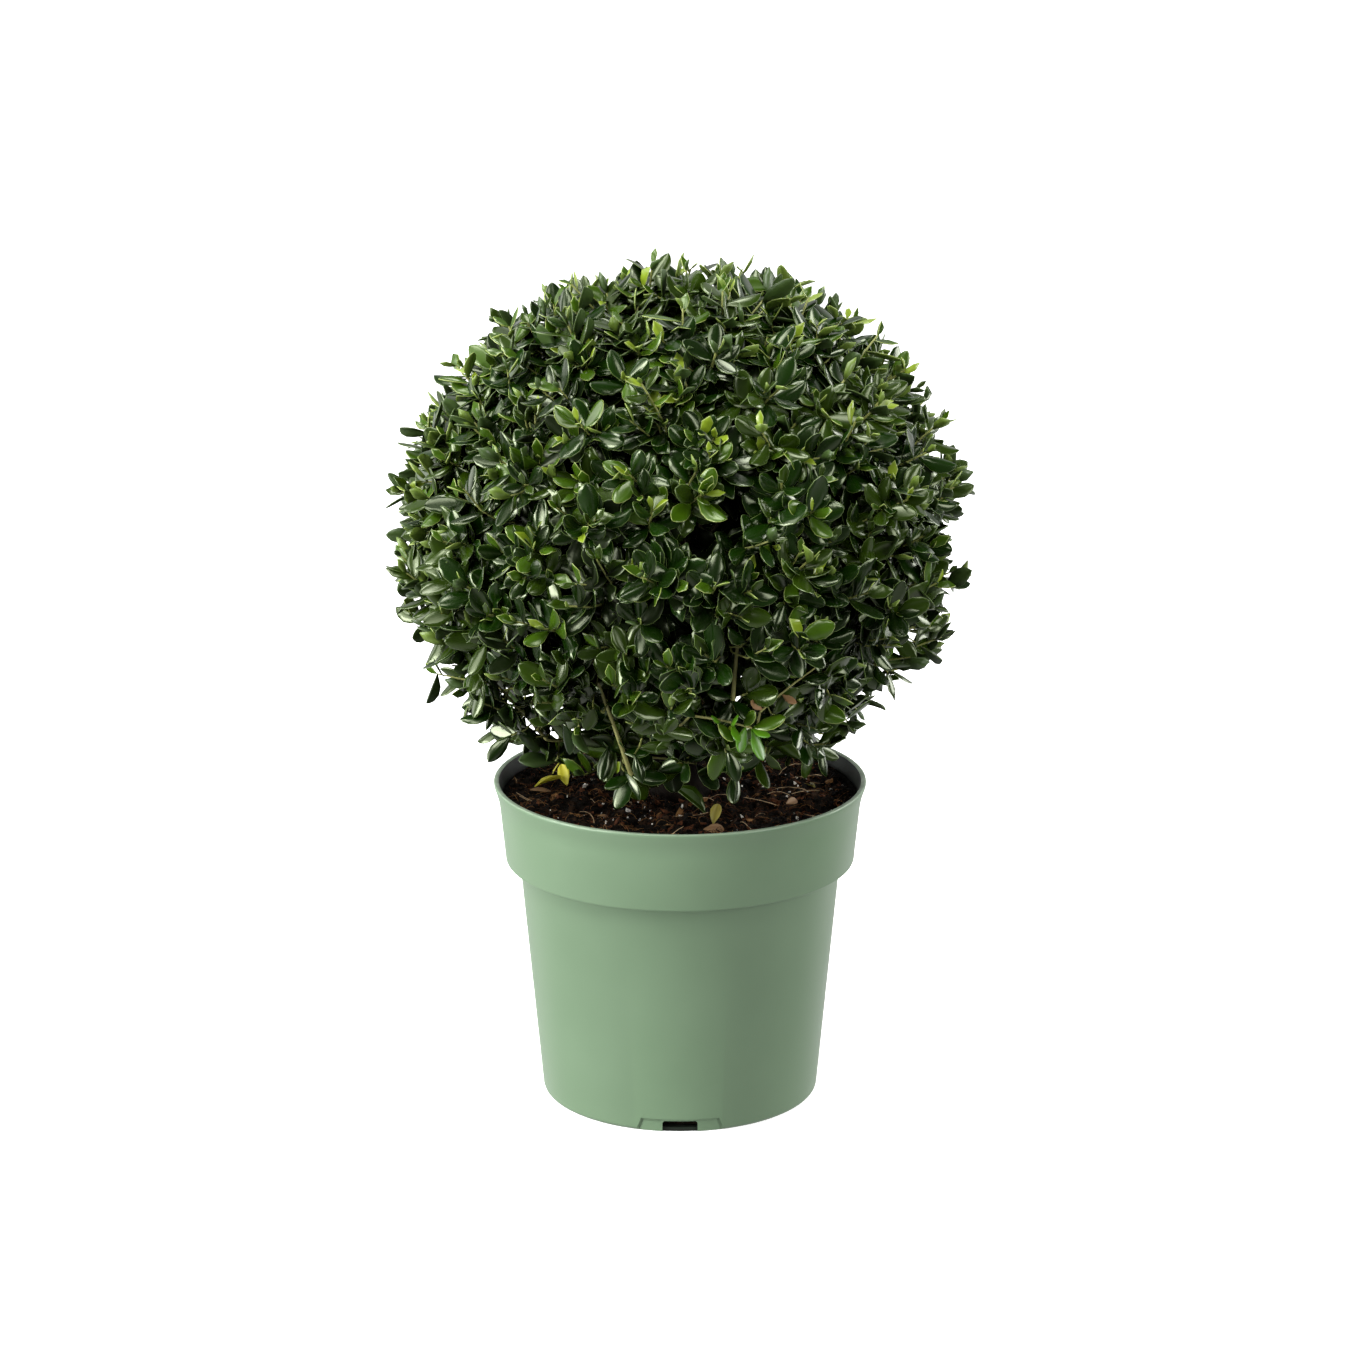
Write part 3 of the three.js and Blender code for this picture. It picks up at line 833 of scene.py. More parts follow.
@dataclass
class Pot:
    """Tapered round nursery pot with a stepped collar, a lip and three drain holes in sunken pads."""

    segments: int = 144
    base_radius: float = 0.0856
    neck: Ring = (0.0995, 0.1500)
    collar_foot: Ring = (0.1079, 0.1506)
    collar_top: Ring = (0.1118, 0.1895)
    lip_radius: float = 0.115
    lip_foot: float = 0.1990
    lip_width: float = 0.0032
    height: float = 0.2008
    wall: float = 0.0019
    floor: float = 0.0026
    roundings: tuple[tuple[float, int], ...] = (
        (0.0030, 4), (0.0005, 2), (0.0008, 3), (0.0050, 4), (0.0006, 2), (0.0008, 3), (0.0010, 3),
    )
    hole_width: float = 0.0215
    hole_height: float = 0.0074
    hole_reach: float = 0.0028
    hole_rounding: float = 0.0018
    hole_steps: int = 4
    hole_count: int = 3
    pad_foot: float = 0.053
    pad_top: float = 0.046
    pad_height: float = 0.0082
    pad_depth: float = 0.0012
    pad_rim: float = 0.0008
    bar_depth: float = 0.01
    bar_place: float = 0.8
    core_foot: float = -0.02
    core_top: float = 0.03
    core_flare: float = 0.0028
    core_segments: int = 48
    rim_slope: float = 0.5
    level_slope: float = 0.9
    upright_slope: float = 0.1
    crease: float = 32.0
    outside: MottledFinish = MottledFinish(
        "pot_green", linear(94, 116, 90), linear(98, 120, 94), patch_scale=18.0, patch_detail=3.0,
        grain_scale=1400.0, grain_strength=0.10, grain_depth=0.0004, roughness=(0.36, 0.44), specular=0.45,
    )
    # The dark inside finish is also painted shade on the upright cut faces inside the drain holes.
    inside: MottledFinish = MottledFinish(
        "pot_inside_and_hole_shade", linear(24, 31, 23), linear(18, 24, 17), patch_scale=60.0, patch_detail=3.0,
        grain_scale=900.0, grain_strength=0.15, grain_depth=0.0004, roughness=(0.5, 0.6), specular=0.25,
    )
    # Painted sheen: a lighter, greyer tone on the rim's upward faces for the light they catch.
    rim: MottledFinish = MottledFinish(
        "pot_rim_painted_sheen", linear(126, 144, 120), linear(108, 126, 104), patch_scale=90.0, patch_detail=4.0,
        grain_scale=900.0, grain_strength=0.15, grain_depth=0.0004, roughness=(0.4, 0.55), specular=0.4,
    )

    def build(self) -> None:
        """Models the pot and hands it to the frame."""
        inner_foot = self.base_radius + (self.neck[0] - self.base_radius) * self.floor / self.neck[1]
        mouth = self.lip_radius - self.lip_width
        outer = [(self.base_radius, 0.0), self.neck, self.collar_foot, self.collar_top]
        lip = [(self.lip_radius, self.lip_foot), (self.lip_radius, self.height), (mouth, self.height)]
        turns = (self.collar_top, self.collar_foot, self.neck)
        lining = [(radius - self.wall, height + self.wall) for radius, height in turns]
        floor = [(inner_foot - self.wall, self.floor)]
        body = turned(outer + lip + lining + floor, self.segments)
        for ring, (width, steps) in zip(outer + lip, self.roundings):
            round_ring(body, ring, width, steps)
        self.carve(body)
        self.dress(body)
        settle(body, "pot_body", "pot_plastic", "pot")

    def carve(self, body: bpy.types.Object) -> None:
        """Sinks the pads into the wall in two steps and cuts the drain holes.

        Args:
            body: The turned pot.
        """
        for depth, rim in ((self.pad_depth, 0.0), (self.pad_depth / 2, self.pad_rim)):
            pads = self.bars(self.pad_foot + 2 * rim, self.pad_top + 2 * rim, self.pad_height + rim, 0.0)
            radius = self.base_radius - depth
            flared = (radius + self.core_flare, self.core_top)
            cut(pads, turned([(radius, self.core_foot), (radius, 0.0), flared], self.segments))
            cut(body, pads)
        holes = self.bars(self.hole_width, self.hole_width, self.hole_height, self.hole_rounding)
        radius = self.base_radius - self.hole_reach
        cut(holes, turned([(radius, self.core_foot), (radius, self.core_top)], self.core_segments))
        cut(body, holes)

    def bars(self, foot: float, top: float, height: float, rounding: float) -> bpy.types.Object:
        """Models bars that reach out through the wall, the first of them at the front.

        Args:
            foot: Width at the ground.
            top: Width at the top.
            height: Height above the ground.
            rounding: Radius of the upper edges.

        Returns:
            The joined bars.
        """
        bars = []
        middle = height - self.bar_depth / 2
        for index in range(self.hole_count):
            deselect()
            bpy.ops.mesh.primitive_cube_add(size=1, location=(0, 0, 0))
            bar = bpy.context.object
            bpy.ops.object.mode_set(mode="EDIT")
            bpy.ops.transform.resize(value=(foot, self.base_radius, self.bar_depth))
            bpy.ops.transform.translate(value=(0, -self.bar_place * self.base_radius, middle))
            bpy.ops.mesh.select_all(action="DESELECT")
            bpy.ops.object.mode_set(mode="OBJECT")
            self.select_top(bar, middle)
            bpy.ops.object.mode_set(mode="EDIT")
            bpy.ops.transform.resize(value=(top / foot, 1, 1), center_override=(0, 0, height))
            if rounding:
                bpy.ops.mesh.select_mode(type="EDGE")
                bpy.ops.mesh.bevel(offset=rounding, segments=self.hole_steps, affect="EDGES")
            bpy.ops.object.mode_set(mode="OBJECT")
            bar.rotation_euler.z = FULL_TURN * index / self.hole_count
            bpy.ops.object.transform_apply(location=True, rotation=True, scale=True)
            bars.append(bar)
        return join(bars)

    def select_top(self, bar: bpy.types.Object, middle: float) -> None:
        """Selects the two long upper edges of a bar.

        Args:
            bar: The bar.
            middle: Height of its middle.
        """
        for vertex in bar.data.vertices:
            vertex.select = vertex.co.z > middle
        for edge in bar.data.edges:
            first, last = (bar.data.vertices[corner] for corner in edge.vertices)
            lengthwise = abs(first.co.y - last.co.y) > self.base_radius / 2
            edge.select = first.select and last.select and lengthwise
        for face in bar.data.polygons:
            face.select = False

    def coat_of(self, face: bpy.types.MeshPolygon) -> Coat:
        """Tells which finish a face takes, by its place and its slope.

        Args:
            face: A face of the pot.

        Returns:
            The finish's place.
        """
        middle, normal = face.center, face.normal
        # Painted sheen on the rim's upward faces.
        if normal.z > self.rim_slope and middle.z > self.lip_foot:
            return Coat.RIM
        reach = math.hypot(middle.x, middle.y)
        mouth = self.lip_radius - self.lip_width
        inmost = self.base_radius - self.hole_reach
        lining = normal.x * middle.x + normal.y * middle.y < 0 and reach < mouth + RING_TOLERANCE
        bottom = normal.z > self.level_slope and middle.z < self.neck[1]
        # Painted shade: the upright cut faces inside the drain holes take the dark inside finish.
        drain = abs(normal.z) < self.upright_slope and reach < inmost + RING_TOLERANCE
        return Coat.INSIDE if lining or bottom or drain else Coat.OUTSIDE

    def dress(self, body: bpy.types.Object) -> None:
        """Gives the outside its green, the lining and inner floor a dark colour, the upright cut faces inside
        the drain holes the same dark colour as painted shade, and the rim's top a lighter grey as painted
        sheen.

        Args:
            body: The finished pot.
        """
        body.data.materials.clear()
        for finish in (self.outside, self.inside, self.rim):
            body.data.materials.append(finish.material())
        for face in body.data.polygons:
            face.material_index = self.coat_of(face)
        deselect()
        body.select_set(True)
        bpy.context.view_layer.objects.active = body
        bpy.ops.object.shade_smooth_by_angle(angle=math.radians(self.crease))


class Crumb(IntEnum):
    """The finishes of what lies on the compost, by their places."""

    BLACK = 0
    BROWN = 1
    RED = 2
    TAN = 3
    WHITE = 4
    ROOT = 5


CRUMB_FINISHES: list[PlainFinish] = [
    PlainFinish("crumb_black", linear(12, 9, 5), 0.9, 0.1),
    PlainFinish("crumb_brown", linear(42, 29, 18), 0.9, 0.1),
    PlainFinish("crumb_red", linear(80, 48, 29), 0.85, 0.1),
    PlainFinish("crumb_tan", linear(122, 89, 54), 0.8, 0.1),
    PlainFinish("grain_white", linear(226, 222, 212), 0.8, 0.4),
    PlainFinish("root_pale", linear(166, 142, 108), 0.7, 0.4),
]


@dataclass(frozen=True)
class Strewn:
    """One kind of small thing that lies strewn on the compost."""

    count: int
    sizes: Span
    thickness: float
    finishes: tuple[Crumb, ...]
    lift: float = 0.0


FallenLeaf = tuple[float, float, float, float, float, Tone]


@dataclass
class Soil:
    """Compost with crumbs, fibres, bark chips, white grains and fallen leaves on it.

    A fallen leaf is its place, its turn, its slope, its length and its colour.
    """

    radius: float = 0.1092
    foot_radius: float = 0.0785
    foot: float = 0.0029
    neck: Ring = (0.0970, 0.1525)
    collar: Ring = (0.1053, 0.1532)
    level: float = 0.1912
    mound: float = 0.0012
    rings: int = 15
    segments: int = 96
    seed: int = 11
    top_cuts: int = 2
    edge_room: float = 0.002
    reliefs: tuple[tuple[str, float, float], ...] = (("clods", 0.022, 0.010), ("lumps", 0.0065, 0.0060))
    relief_middle: float = 0.55
    crease: float = 40.0
    crumbs: tuple[Strewn, ...] = (
        Strewn(5200, (0.0008, 0.0040), 0.5, (Crumb.BLACK,) * 4 + (Crumb.BROWN,) * 2 + (Crumb.RED,)),
        Strewn(90, (0.003, 0.0075), 0.3, (Crumb.BLACK, Crumb.BROWN, Crumb.RED, Crumb.TAN)),
        Strewn(150, (0.0011, 0.0026), 0.8, (Crumb.WHITE,)),
    )
    crumb_room: float = 0.004
    crumb_skew: float = 2.6
    crumb_widths: Span = (0.3, 0.8)
    crumb_roughness: float = 0.45
    crumb_tilt: float = 0.45
    crumb_lift: float = 0.15
    fibres: tuple[Strewn, ...] = (
        Strewn(
            3000, (0.003, 0.011), 0.00017,
            (Crumb.BLACK,) * 2 + (Crumb.BROWN,) * 2 + (Crumb.RED, Crumb.TAN), lift=0.0040,
        ),
        Strewn(44, (0.012, 0.030), 0.00028, (Crumb.ROOT,), lift=0.0050),
    )
    fibre_room: float = 0.003
    fibre_slopes: Span = (-0.1, 0.35)
    fibre_kink: float = 0.002
    fibre_taper: float = 0.6
    fibre_tube: tuple[int, int] = (3, 5)
    fallen: tuple[FallenLeaf, ...] = (
        (-0.0700, 0.0080, 1.9, 0.9, 0.0160, Tone.FALLEN), (-0.0900, 0.0060, 0.5, 0.4, 0.0190, Tone.FALLEN),
        (-0.0800, 0.0280, 1.3, 0.8, 0.0140, Tone.FALLEN), (-0.0930, -0.0020, 0.2, 0.0, 0.0140, Tone.SCORCHED),
        (0.0152, -0.0500, 2.84, 1.0, 0.0240, Tone.OLIVE), (0.0200, -0.0655, 1.2, 1.5, 0.0140, Tone.YELLOW),
        (0.0140, -0.0767, 0.1, 0.0, 0.0130, Tone.SCORCHED),
        (0.0650, -0.0300, 0.9, 0.0, 0.0110, Tone.SCORCHED),
        (0.0840, 0.0120, 2.2, 0.1, 0.0120, Tone.YELLOW), (-0.0350, 0.0860, 3.8, 0.1, 0.0150, Tone.SCORCHED),
        (0.0500, 0.0780, 1.0, 0.2, 0.0140, Tone.YELLOW), (-0.0500, -0.0550, 0.4, 0.0, 0.0100, Tone.SCORCHED),
    )
    fallen_ruffle: float = 0.45
    fallen_lift: float = 0.0022
    fallen_fullness: float = 0.5
    fallen_curl: Span = (0.5, 0.4)
    fallen_cup: Span = (-0.3, 0.4)
    finish: MottledFinish = MottledFinish(
        "compost", linear(28, 20, 12), linear(8, 6, 4), patch_scale=300.0, patch_detail=8.0,
        grain_scale=1500.0, grain_strength=1.0, grain_depth=0.0012, roughness=(0.85, 0.97), specular=0.1,
    )

    def build(self) -> None:
        """Models the compost with all that lies on it."""
        ground = self.body()
        random = np.random.default_rng(self.seed)
        tree = BVHTree.FromPolygons(
            [vertex.co for vertex in ground.data.vertices], [face.vertices for face in ground.data.polygons])
        pile = Pile()
        self.scatter_crumbs(pile, tree, random)
        self.scatter_fibres(pile, tree, random)
        settle(ground, "compost", "soil", "soil")
        settle(pile.build("compost_crumbs", CRUMB_FINISHES, smooth=False), "compost_crumbs", "soil")
        self.drop_leaves(tree, random)

    def body(self) -> bpy.types.Object:
        """Models the filling of the pot with a rough mounded top.

        Returns:
            The compost's object.
        """
        top = []
        for step in range(self.rings):
            rise = self.mound * math.sin(math.pi / 2 * step / self.rings)
            top.append((self.radius * (1 - step / self.rings), self.level + rise))
        body = turned([(self.foot_radius, self.foot), self.neck, self.collar] + top, self.segments)
        surface = body.vertex_groups.new(name="top")
        lowest = self.level - RING_TOLERANCE
        surface.add([vertex.index for vertex in body.data.vertices if vertex.co.z > lowest], 1.0, "REPLACE")
        bpy.ops.object.mode_set(mode="EDIT")
        bpy.ops.mesh.select_all(action="DESELECT")
        body.vertex_groups.active_index = surface.index
        bpy.ops.object.vertex_group_select()
        bpy.ops.mesh.subdivide(number_cuts=self.top_cuts)
        bpy.ops.object.mode_set(mode="OBJECT")
        rough = body.vertex_groups.new(name="rough")
        for vertex in body.data.vertices:
            reach = math.hypot(vertex.co.x, vertex.co.y)
            if reach < self.radius - self.edge_room and vertex.co.z > self.level:
                rough.add([vertex.index], 1.0, "REPLACE")
        for name, scale, strength in self.reliefs:
            self.roughen(body, name, scale, strength)
        body.vertex_groups.clear()
        body.data.materials.clear()
        body.data.materials.append(self.finish.material())
        bpy.ops.object.shade_smooth_by_angle(angle=math.radians(self.crease))
        return body

    def roughen(self, body: bpy.types.Object, name: str, scale: float, strength: float) -> None:
        """Raises lumps on the compost's top.

        Args:
            body: The compost.
            name: What the lumps are called.
            scale: Their size.
            strength: Their height.
        """
        texture = bpy.data.textures.new(name, "CLOUDS")
        texture.noise_scale = scale
        bpy.ops.object.modifier_add(type="DISPLACE")
        modifier = body.modifiers[-1]
        modifier.texture = texture
        modifier.texture_coords = "GLOBAL"
        modifier.direction = "Z"
        modifier.vertex_group = "rough"
        modifier.strength = strength
        modifier.mid_level = self.relief_middle
        bpy.ops.object.modifier_apply(modifier=modifier.name)

    def top_at(self, tree: BVHTree, x: float, y: float) -> float:
        """Gives the height of the compost's top at a place."""
        hit = tree.ray_cast(Vector((x, y, SKY_HEIGHT)), Vector((0, 0, -1)))[0]
        return hit.z if hit else self.level

    def spots(self, count: int, tree: BVHTree, random: np.random.Generator) -> Array:
        """Finds places on the compost's top.

        Args:
            count: How many.
            tree: The compost's faces, to look down on.
            random: Where its draws come from.

        Returns:
            Points on the top.
        """
        reach = (self.radius - self.crumb_room) * np.sqrt(random.random(count))
        turn = random.uniform(0, FULL_TURN, count)
        places = zip(reach * np.cos(turn), reach * np.sin(turn))
        return np.array([(x, y, self.top_at(tree, x, y)) for x, y in places])

    def scatter_crumbs(self, pile: Pile, tree: BVHTree, random: np.random.Generator) -> None:
        """Strews crumbs, bark chips and white grains.

        Args:
            pile: Where they are gathered.
            tree: The compost's faces.
            random: Where its draws come from.
        """
        square = ((-1, -1), (1, -1), (1, 1), (-1, 1))
        corners = np.array([(x, y, z) for z in (-1, 1) for x, y in square]) * 0.5
        ends = [(3, 2, 1, 0), (4, 5, 6, 7)]
        faces = np.array(ends + sleeve(2, len(square)))
        for kind in self.crumbs:
            count = kind.count
            size = lerp(*kind.sizes, random.random(count) ** self.crumb_skew)
            widths = random.uniform(*self.crumb_widths, count)
            scale = size[:, None] * np.stack([np.ones(count), widths, np.full(count, kind.thickness)], 1)
            shape = corners * (1 + self.crumb_roughness * random.uniform(-1, 1, (count, *corners.shape)))
            turn = random.uniform(0, FULL_TURN, count)
            tilt = random.normal(0, self.crumb_tilt, (count, 2))
            shape = self.turn_about(shape * scale[:, None], turn, tilt)
            places = self.spots(count, tree, random) + UP * (self.crumb_lift * size)[:, None]
            pile.add(shape + places[:, None], faces, random.choice(kind.finishes, (count, 1)))

    @staticmethod
    def turn_about(shapes: Array, turn: Array, tilt: Array) -> Array:
        """Turns shapes about the upright and tips them over a little.

        Args:
            shapes: Corners by shape.
            turn: Angle of each about the upright.
            tilt: Two small angles of each.

        Returns:
            The turned corners.
        """
        x, y, z = shapes[..., 0], shapes[..., 1], shapes[..., 2]
        z = z + x * np.sin(tilt[:, :1]) + y * np.sin(tilt[:, 1:])
        cos, sin = np.cos(turn)[:, None], np.sin(turn)[:, None]
        return np.stack([x * cos - y * sin, x * sin + y * cos, z], axis=2)

    def scatter_fibres(self, pile: Pile, tree: BVHTree, random: np.random.Generator) -> None:
        """Lays peat fibres and pale roots.

        Args:
            pile: Where they are gathered.
            tree: The compost's faces.
            random: Where its draws come from.
        """
        for kind in self.fibres:
            count = kind.count
            foot = self.spots(count, tree, random)
            turn = random.uniform(0, FULL_TURN, count)
            slope = random.uniform(*self.fibre_slopes, count)
            reach = np.stack([np.cos(turn), np.sin(turn), slope], axis=1)
            tip = foot + reach * random.uniform(*kind.sizes, count)[:, None]
            out = np.hypot(tip[:, 0], tip[:, 1])
            tip[:, :2] *= np.minimum(1, (self.radius - self.fibre_room) / out)[:, None]
            bend = lerp(foot, tip, 0.5) + random.normal(0, self.fibre_kink, (count, 3))
            bend = bend + UP * random.uniform(0, kind.lift, (count, 1))
            thick = np.full(count, kind.thickness)
            lot = Twigs(foot, bend, tip, thick, thick * self.fibre_taper)
            pile.add(*lot.tubes(*self.fibre_tube), random.choice(kind.finishes, (count, 1)))

    def drop_leaves(self, tree: BVHTree, random: np.random.Generator) -> None:
        """Lays the fallen leaves.

        Args:
            tree: The compost's faces.
            random: Where its draws come from.
        """
        x, y, turn, rise, length, tone = (np.array(part) for part in zip(*self.fallen))
        count = len(x)
        tops = np.array([self.top_at(tree, across, back) for across, back in zip(x, y)])
        along = unit(np.stack([np.cos(turn), np.sin(turn), rise], axis=1))
        outward = unit(np.stack([x, y, np.zeros(count)], axis=1))
        face = UP + rise[:, None] * outward + self.fallen_ruffle * random.normal(size=(count, 3))
        foot = np.stack([x, y, tops + self.fallen_lift], axis=1)
        curl = random.normal(*self.fallen_curl, count)
        cup = random.normal(*self.fallen_cup, count)
        width = length * self.fallen_fullness
        pile = Pile()
        lot = Leaves(foot, along, square_to(along, face), length, width, curl, cup, tone.astype(int))
        lot.heap(pile, GROWN_BLADE)
        settle(pile.build("fallen_leaves", LEAF_FINISHES), "fallen_leaves", "foliage")


@dataclass(frozen=True)
class Tier:
    """One ring of boughs, by the source's sizes."""

    name: str
    count: int
    turn: float
    foot: Ring
    tip: Ring
    rise: float
    radii: Span


@dataclass
class Limbs:
    """Trunk and boughs with the relief of their bark."""

    ground: float = 0.1905
    height: float = 0.052
    lean: tuple[float, float] = (0.003, -0.002)
    foot_radius: float = 0.014
    fork_radius: float = 0.0115
    flare: float = 0.5
    flare_fall: float = 6.0
    bend_share: float = 0.45
    reach_spread: float = 0.06
    turn_spread: float = 0.12
    seed: int = 20
    tiers: tuple[Tier, ...] = (
        Tier("upper_bough", 5, 0.2, (0.0076, 0.237), (0.084, 0.356), 0.28, (0.0037, 0.0027)),
        Tier("skirt_bough", 8, 0.55, (0.004, 0.213), (0.072, 0.238), 0.1, (0.0035, 0.0021)),
    )
    leader_tip: Place = (-0.004, 0.005, 0.366)
    leader_start: float = 0.92
    leader_bow: Place = (0.003, 0.0, 0.0)
    leader_radii: Span = (0.0035, 0.0027)
    trunk_rings: int = 14
    trunk_rounding: int = 8
    bough_rings: int = 16
    bough_rounding: int = 4
    relief_scale: float = 0.006
    relief_height: float = 0.0016
    # Painted shade: the bark is darker than its own brown, so the trunk under the crown reads as shadow.
    finish: MottledFinish = MottledFinish(
        "rough_bark_painted_shade", linear(24, 17, 11), linear(9, 7, 5), patch_scale=160.0, patch_detail=6.0,
        grain_scale=700.0, grain_strength=0.8, grain_depth=0.0008, roughness=(0.8, 0.95), specular=0.08,
    )

    def trunk_point(self, share: float) -> Array:
        """Gives a point of the trunk's leaning middle line.

        Args:
            share: Share of the trunk's height.

        Returns:
            The point.
        """
        foot = np.array([0.0, 0.0, self.ground])
        top = np.array([*self.lean, self.ground + self.height])
        bend = np.array([0.0, 0.0, self.ground + self.height / 2])
        return (1 - share) ** 2 * foot + 2 * share * (1 - share) * bend + share**2 * top

    def trunk_radius(self, share: float) -> float:
        """Gives the trunk's radius with its root flare."""
        flare = 1 + self.flare * (1 - share) ** self.flare_fall
        return lerp(self.foot_radius, self.fork_radius, share) * flare

    def plan(self) -> tuple[list[str], Twigs]:
        """Lays out every bough by the source's rule and draws.

        Returns:
            The boughs' node names and their curves.
        """
        dice = Dice(self.seed)
        names, rows = [], []
        for tier in self.tiers:
            start = self.trunk_point((tier.foot[1] - self.ground) / self.height)
            for index in range(tier.count):
                azimuth = tier.turn + FULL_TURN * index / tier.count
                tip_radius = dice.varied(tier.tip[0], self.reach_spread)
                foot = polar(tier.foot[0], 0, azimuth) + start
                tip = polar(tip_radius, tier.tip[1], azimuth + self.turn_spread * (2 * dice.roll() - 1))
                bend = lerp(foot, tip, self.bend_share)
                bend[2] = lerp(foot[2], tip[2], self.bend_share + tier.rise)
                names.append(f"{tier.name}_{index + 1}")
                rows.append((foot, bend, tip, *tier.radii))
        foot = self.trunk_point(self.leader_start)
        tip = np.array(self.leader_tip)
        names.append("leader_bough")
        rows.append((foot, lerp(foot, tip, 0.5) + np.array(self.leader_bow), tip, *self.leader_radii))
        return names, Twigs(*(np.array(part) for part in zip(*rows)))

    def build(self) -> Twigs:
        """Models trunk and boughs and hands them to the frame.

        Returns:
            The boughs' curves, for the crown to grow on from.
        """
        names, boughs = self.plan()
        shares = np.linspace(0, 1, self.trunk_rings)
        trunk = [(self.trunk_point(share), self.trunk_radius(share)) for share in shares]
        pieces = [self.branch(trunk, self.trunk_rounding)]
        shares = np.linspace(0, 1, self.bough_rings)
        for row in range(len(names)):
            bough = boughs.chosen(np.array([row]))
            radii = lerp(bough.foot_radius[0], bough.tip_radius[0], shares)
            line = [(bough.point([share])[0], radius) for share, radius in zip(shares, radii)]
            pieces.append(self.branch(line, self.bough_rounding))
        settle(join(pieces), "limbs", "bark", "trunk", *names)
        return boughs

    def branch(self, line: list[tuple[Array, float]], rounding: int) -> bpy.types.Object:
        """Draws one limb as a round curve, turns it into a mesh and raises its bark.

        Args:
            line: Points and radii along it.
            rounding: Steps of each quarter of its section.

        Returns:
            The limb's mesh object.
        """
        deselect()
        bpy.ops.curve.primitive_nurbs_path_add(radius=1, location=(0, 0, 0))
        curve = bpy.context.object
        curve.data.splines.clear()
        spline = curve.data.splines.new("POLY")
        spline.points.add(len(line) - 1)
        for point, (place, radius) in zip(spline.points, line):
            point.co = (*place, 1)
            point.radius = radius
        curve.data.bevel_depth = 1.0
        curve.data.bevel_resolution = rounding
        curve.data.use_fill_caps = True
        bpy.ops.object.convert(target="MESH")
        limb = bpy.context.object
        limb.data.materials.clear()
        limb.data.materials.append(self.finish.material())
        self.raise_bark(limb)
        bpy.ops.object.shade_smooth()
        return limb

    def raise_bark(self, limb: bpy.types.Object) -> None:
        """Splits a limb's faces and raises the bark's relief on them.

        Args:
            limb: The limb's mesh object.
        """
        bpy.ops.object.modifier_add(type="SUBSURF")
        split = limb.modifiers[-1]
        split.subdivision_type = "SIMPLE"
        split.levels = split.render_levels = 1
        bpy.ops.object.modifier_apply(modifier=split.name)
        relief = bpy.data.textures.get("bark_relief") or bpy.data.textures.new("bark_relief", "CLOUDS")
        relief.noise_scale = self.relief_scale
        bpy.ops.object.modifier_add(type="DISPLACE")
        bark = limb.modifiers[-1]
        bark.texture = relief
        bark.texture_coords = "GLOBAL"
        bark.strength = self.relief_height
        bpy.ops.object.modifier_apply(modifier=bark.name)


@dataclass(frozen=True)
class Order:
    """One order of twigs between the boughs and the leaves.

    Shares are the least and greatest reach of the tips, as shares of the outline. Sweep is how far low twigs
    hang before their tips turn up, as a share of their length.
    """

    count: int
    shares: Span
    radii: Span
    stray: float
    sweep: float
    tube: tuple[int, int]


SprigLeaf = tuple[float, Place, Place, float, Tone]


@dataclass(frozen=True)
class Sprig:
    """A single twig that stands clear of the crown.

    Each of its leaves is a share of the twig, a direction, a facing, a length and a colour.
    """

    node: Place
    tip: Place
    radius: float
    room: float
    leaves: tuple[SprigLeaf, ...]


@dataclass(frozen=True)
class LeafKind:
    """One kind of leaf: its length from first to last, and the middle and spread of each draw."""

    length: Span
    fullness: float
    curl: Span
    cup: Span


@dataclass
class Sprays:
    """What the leaves of one shoot have in common, shoot by shoot."""

    start: Array
    tone: Array
    vigour: Array
    lush: Array


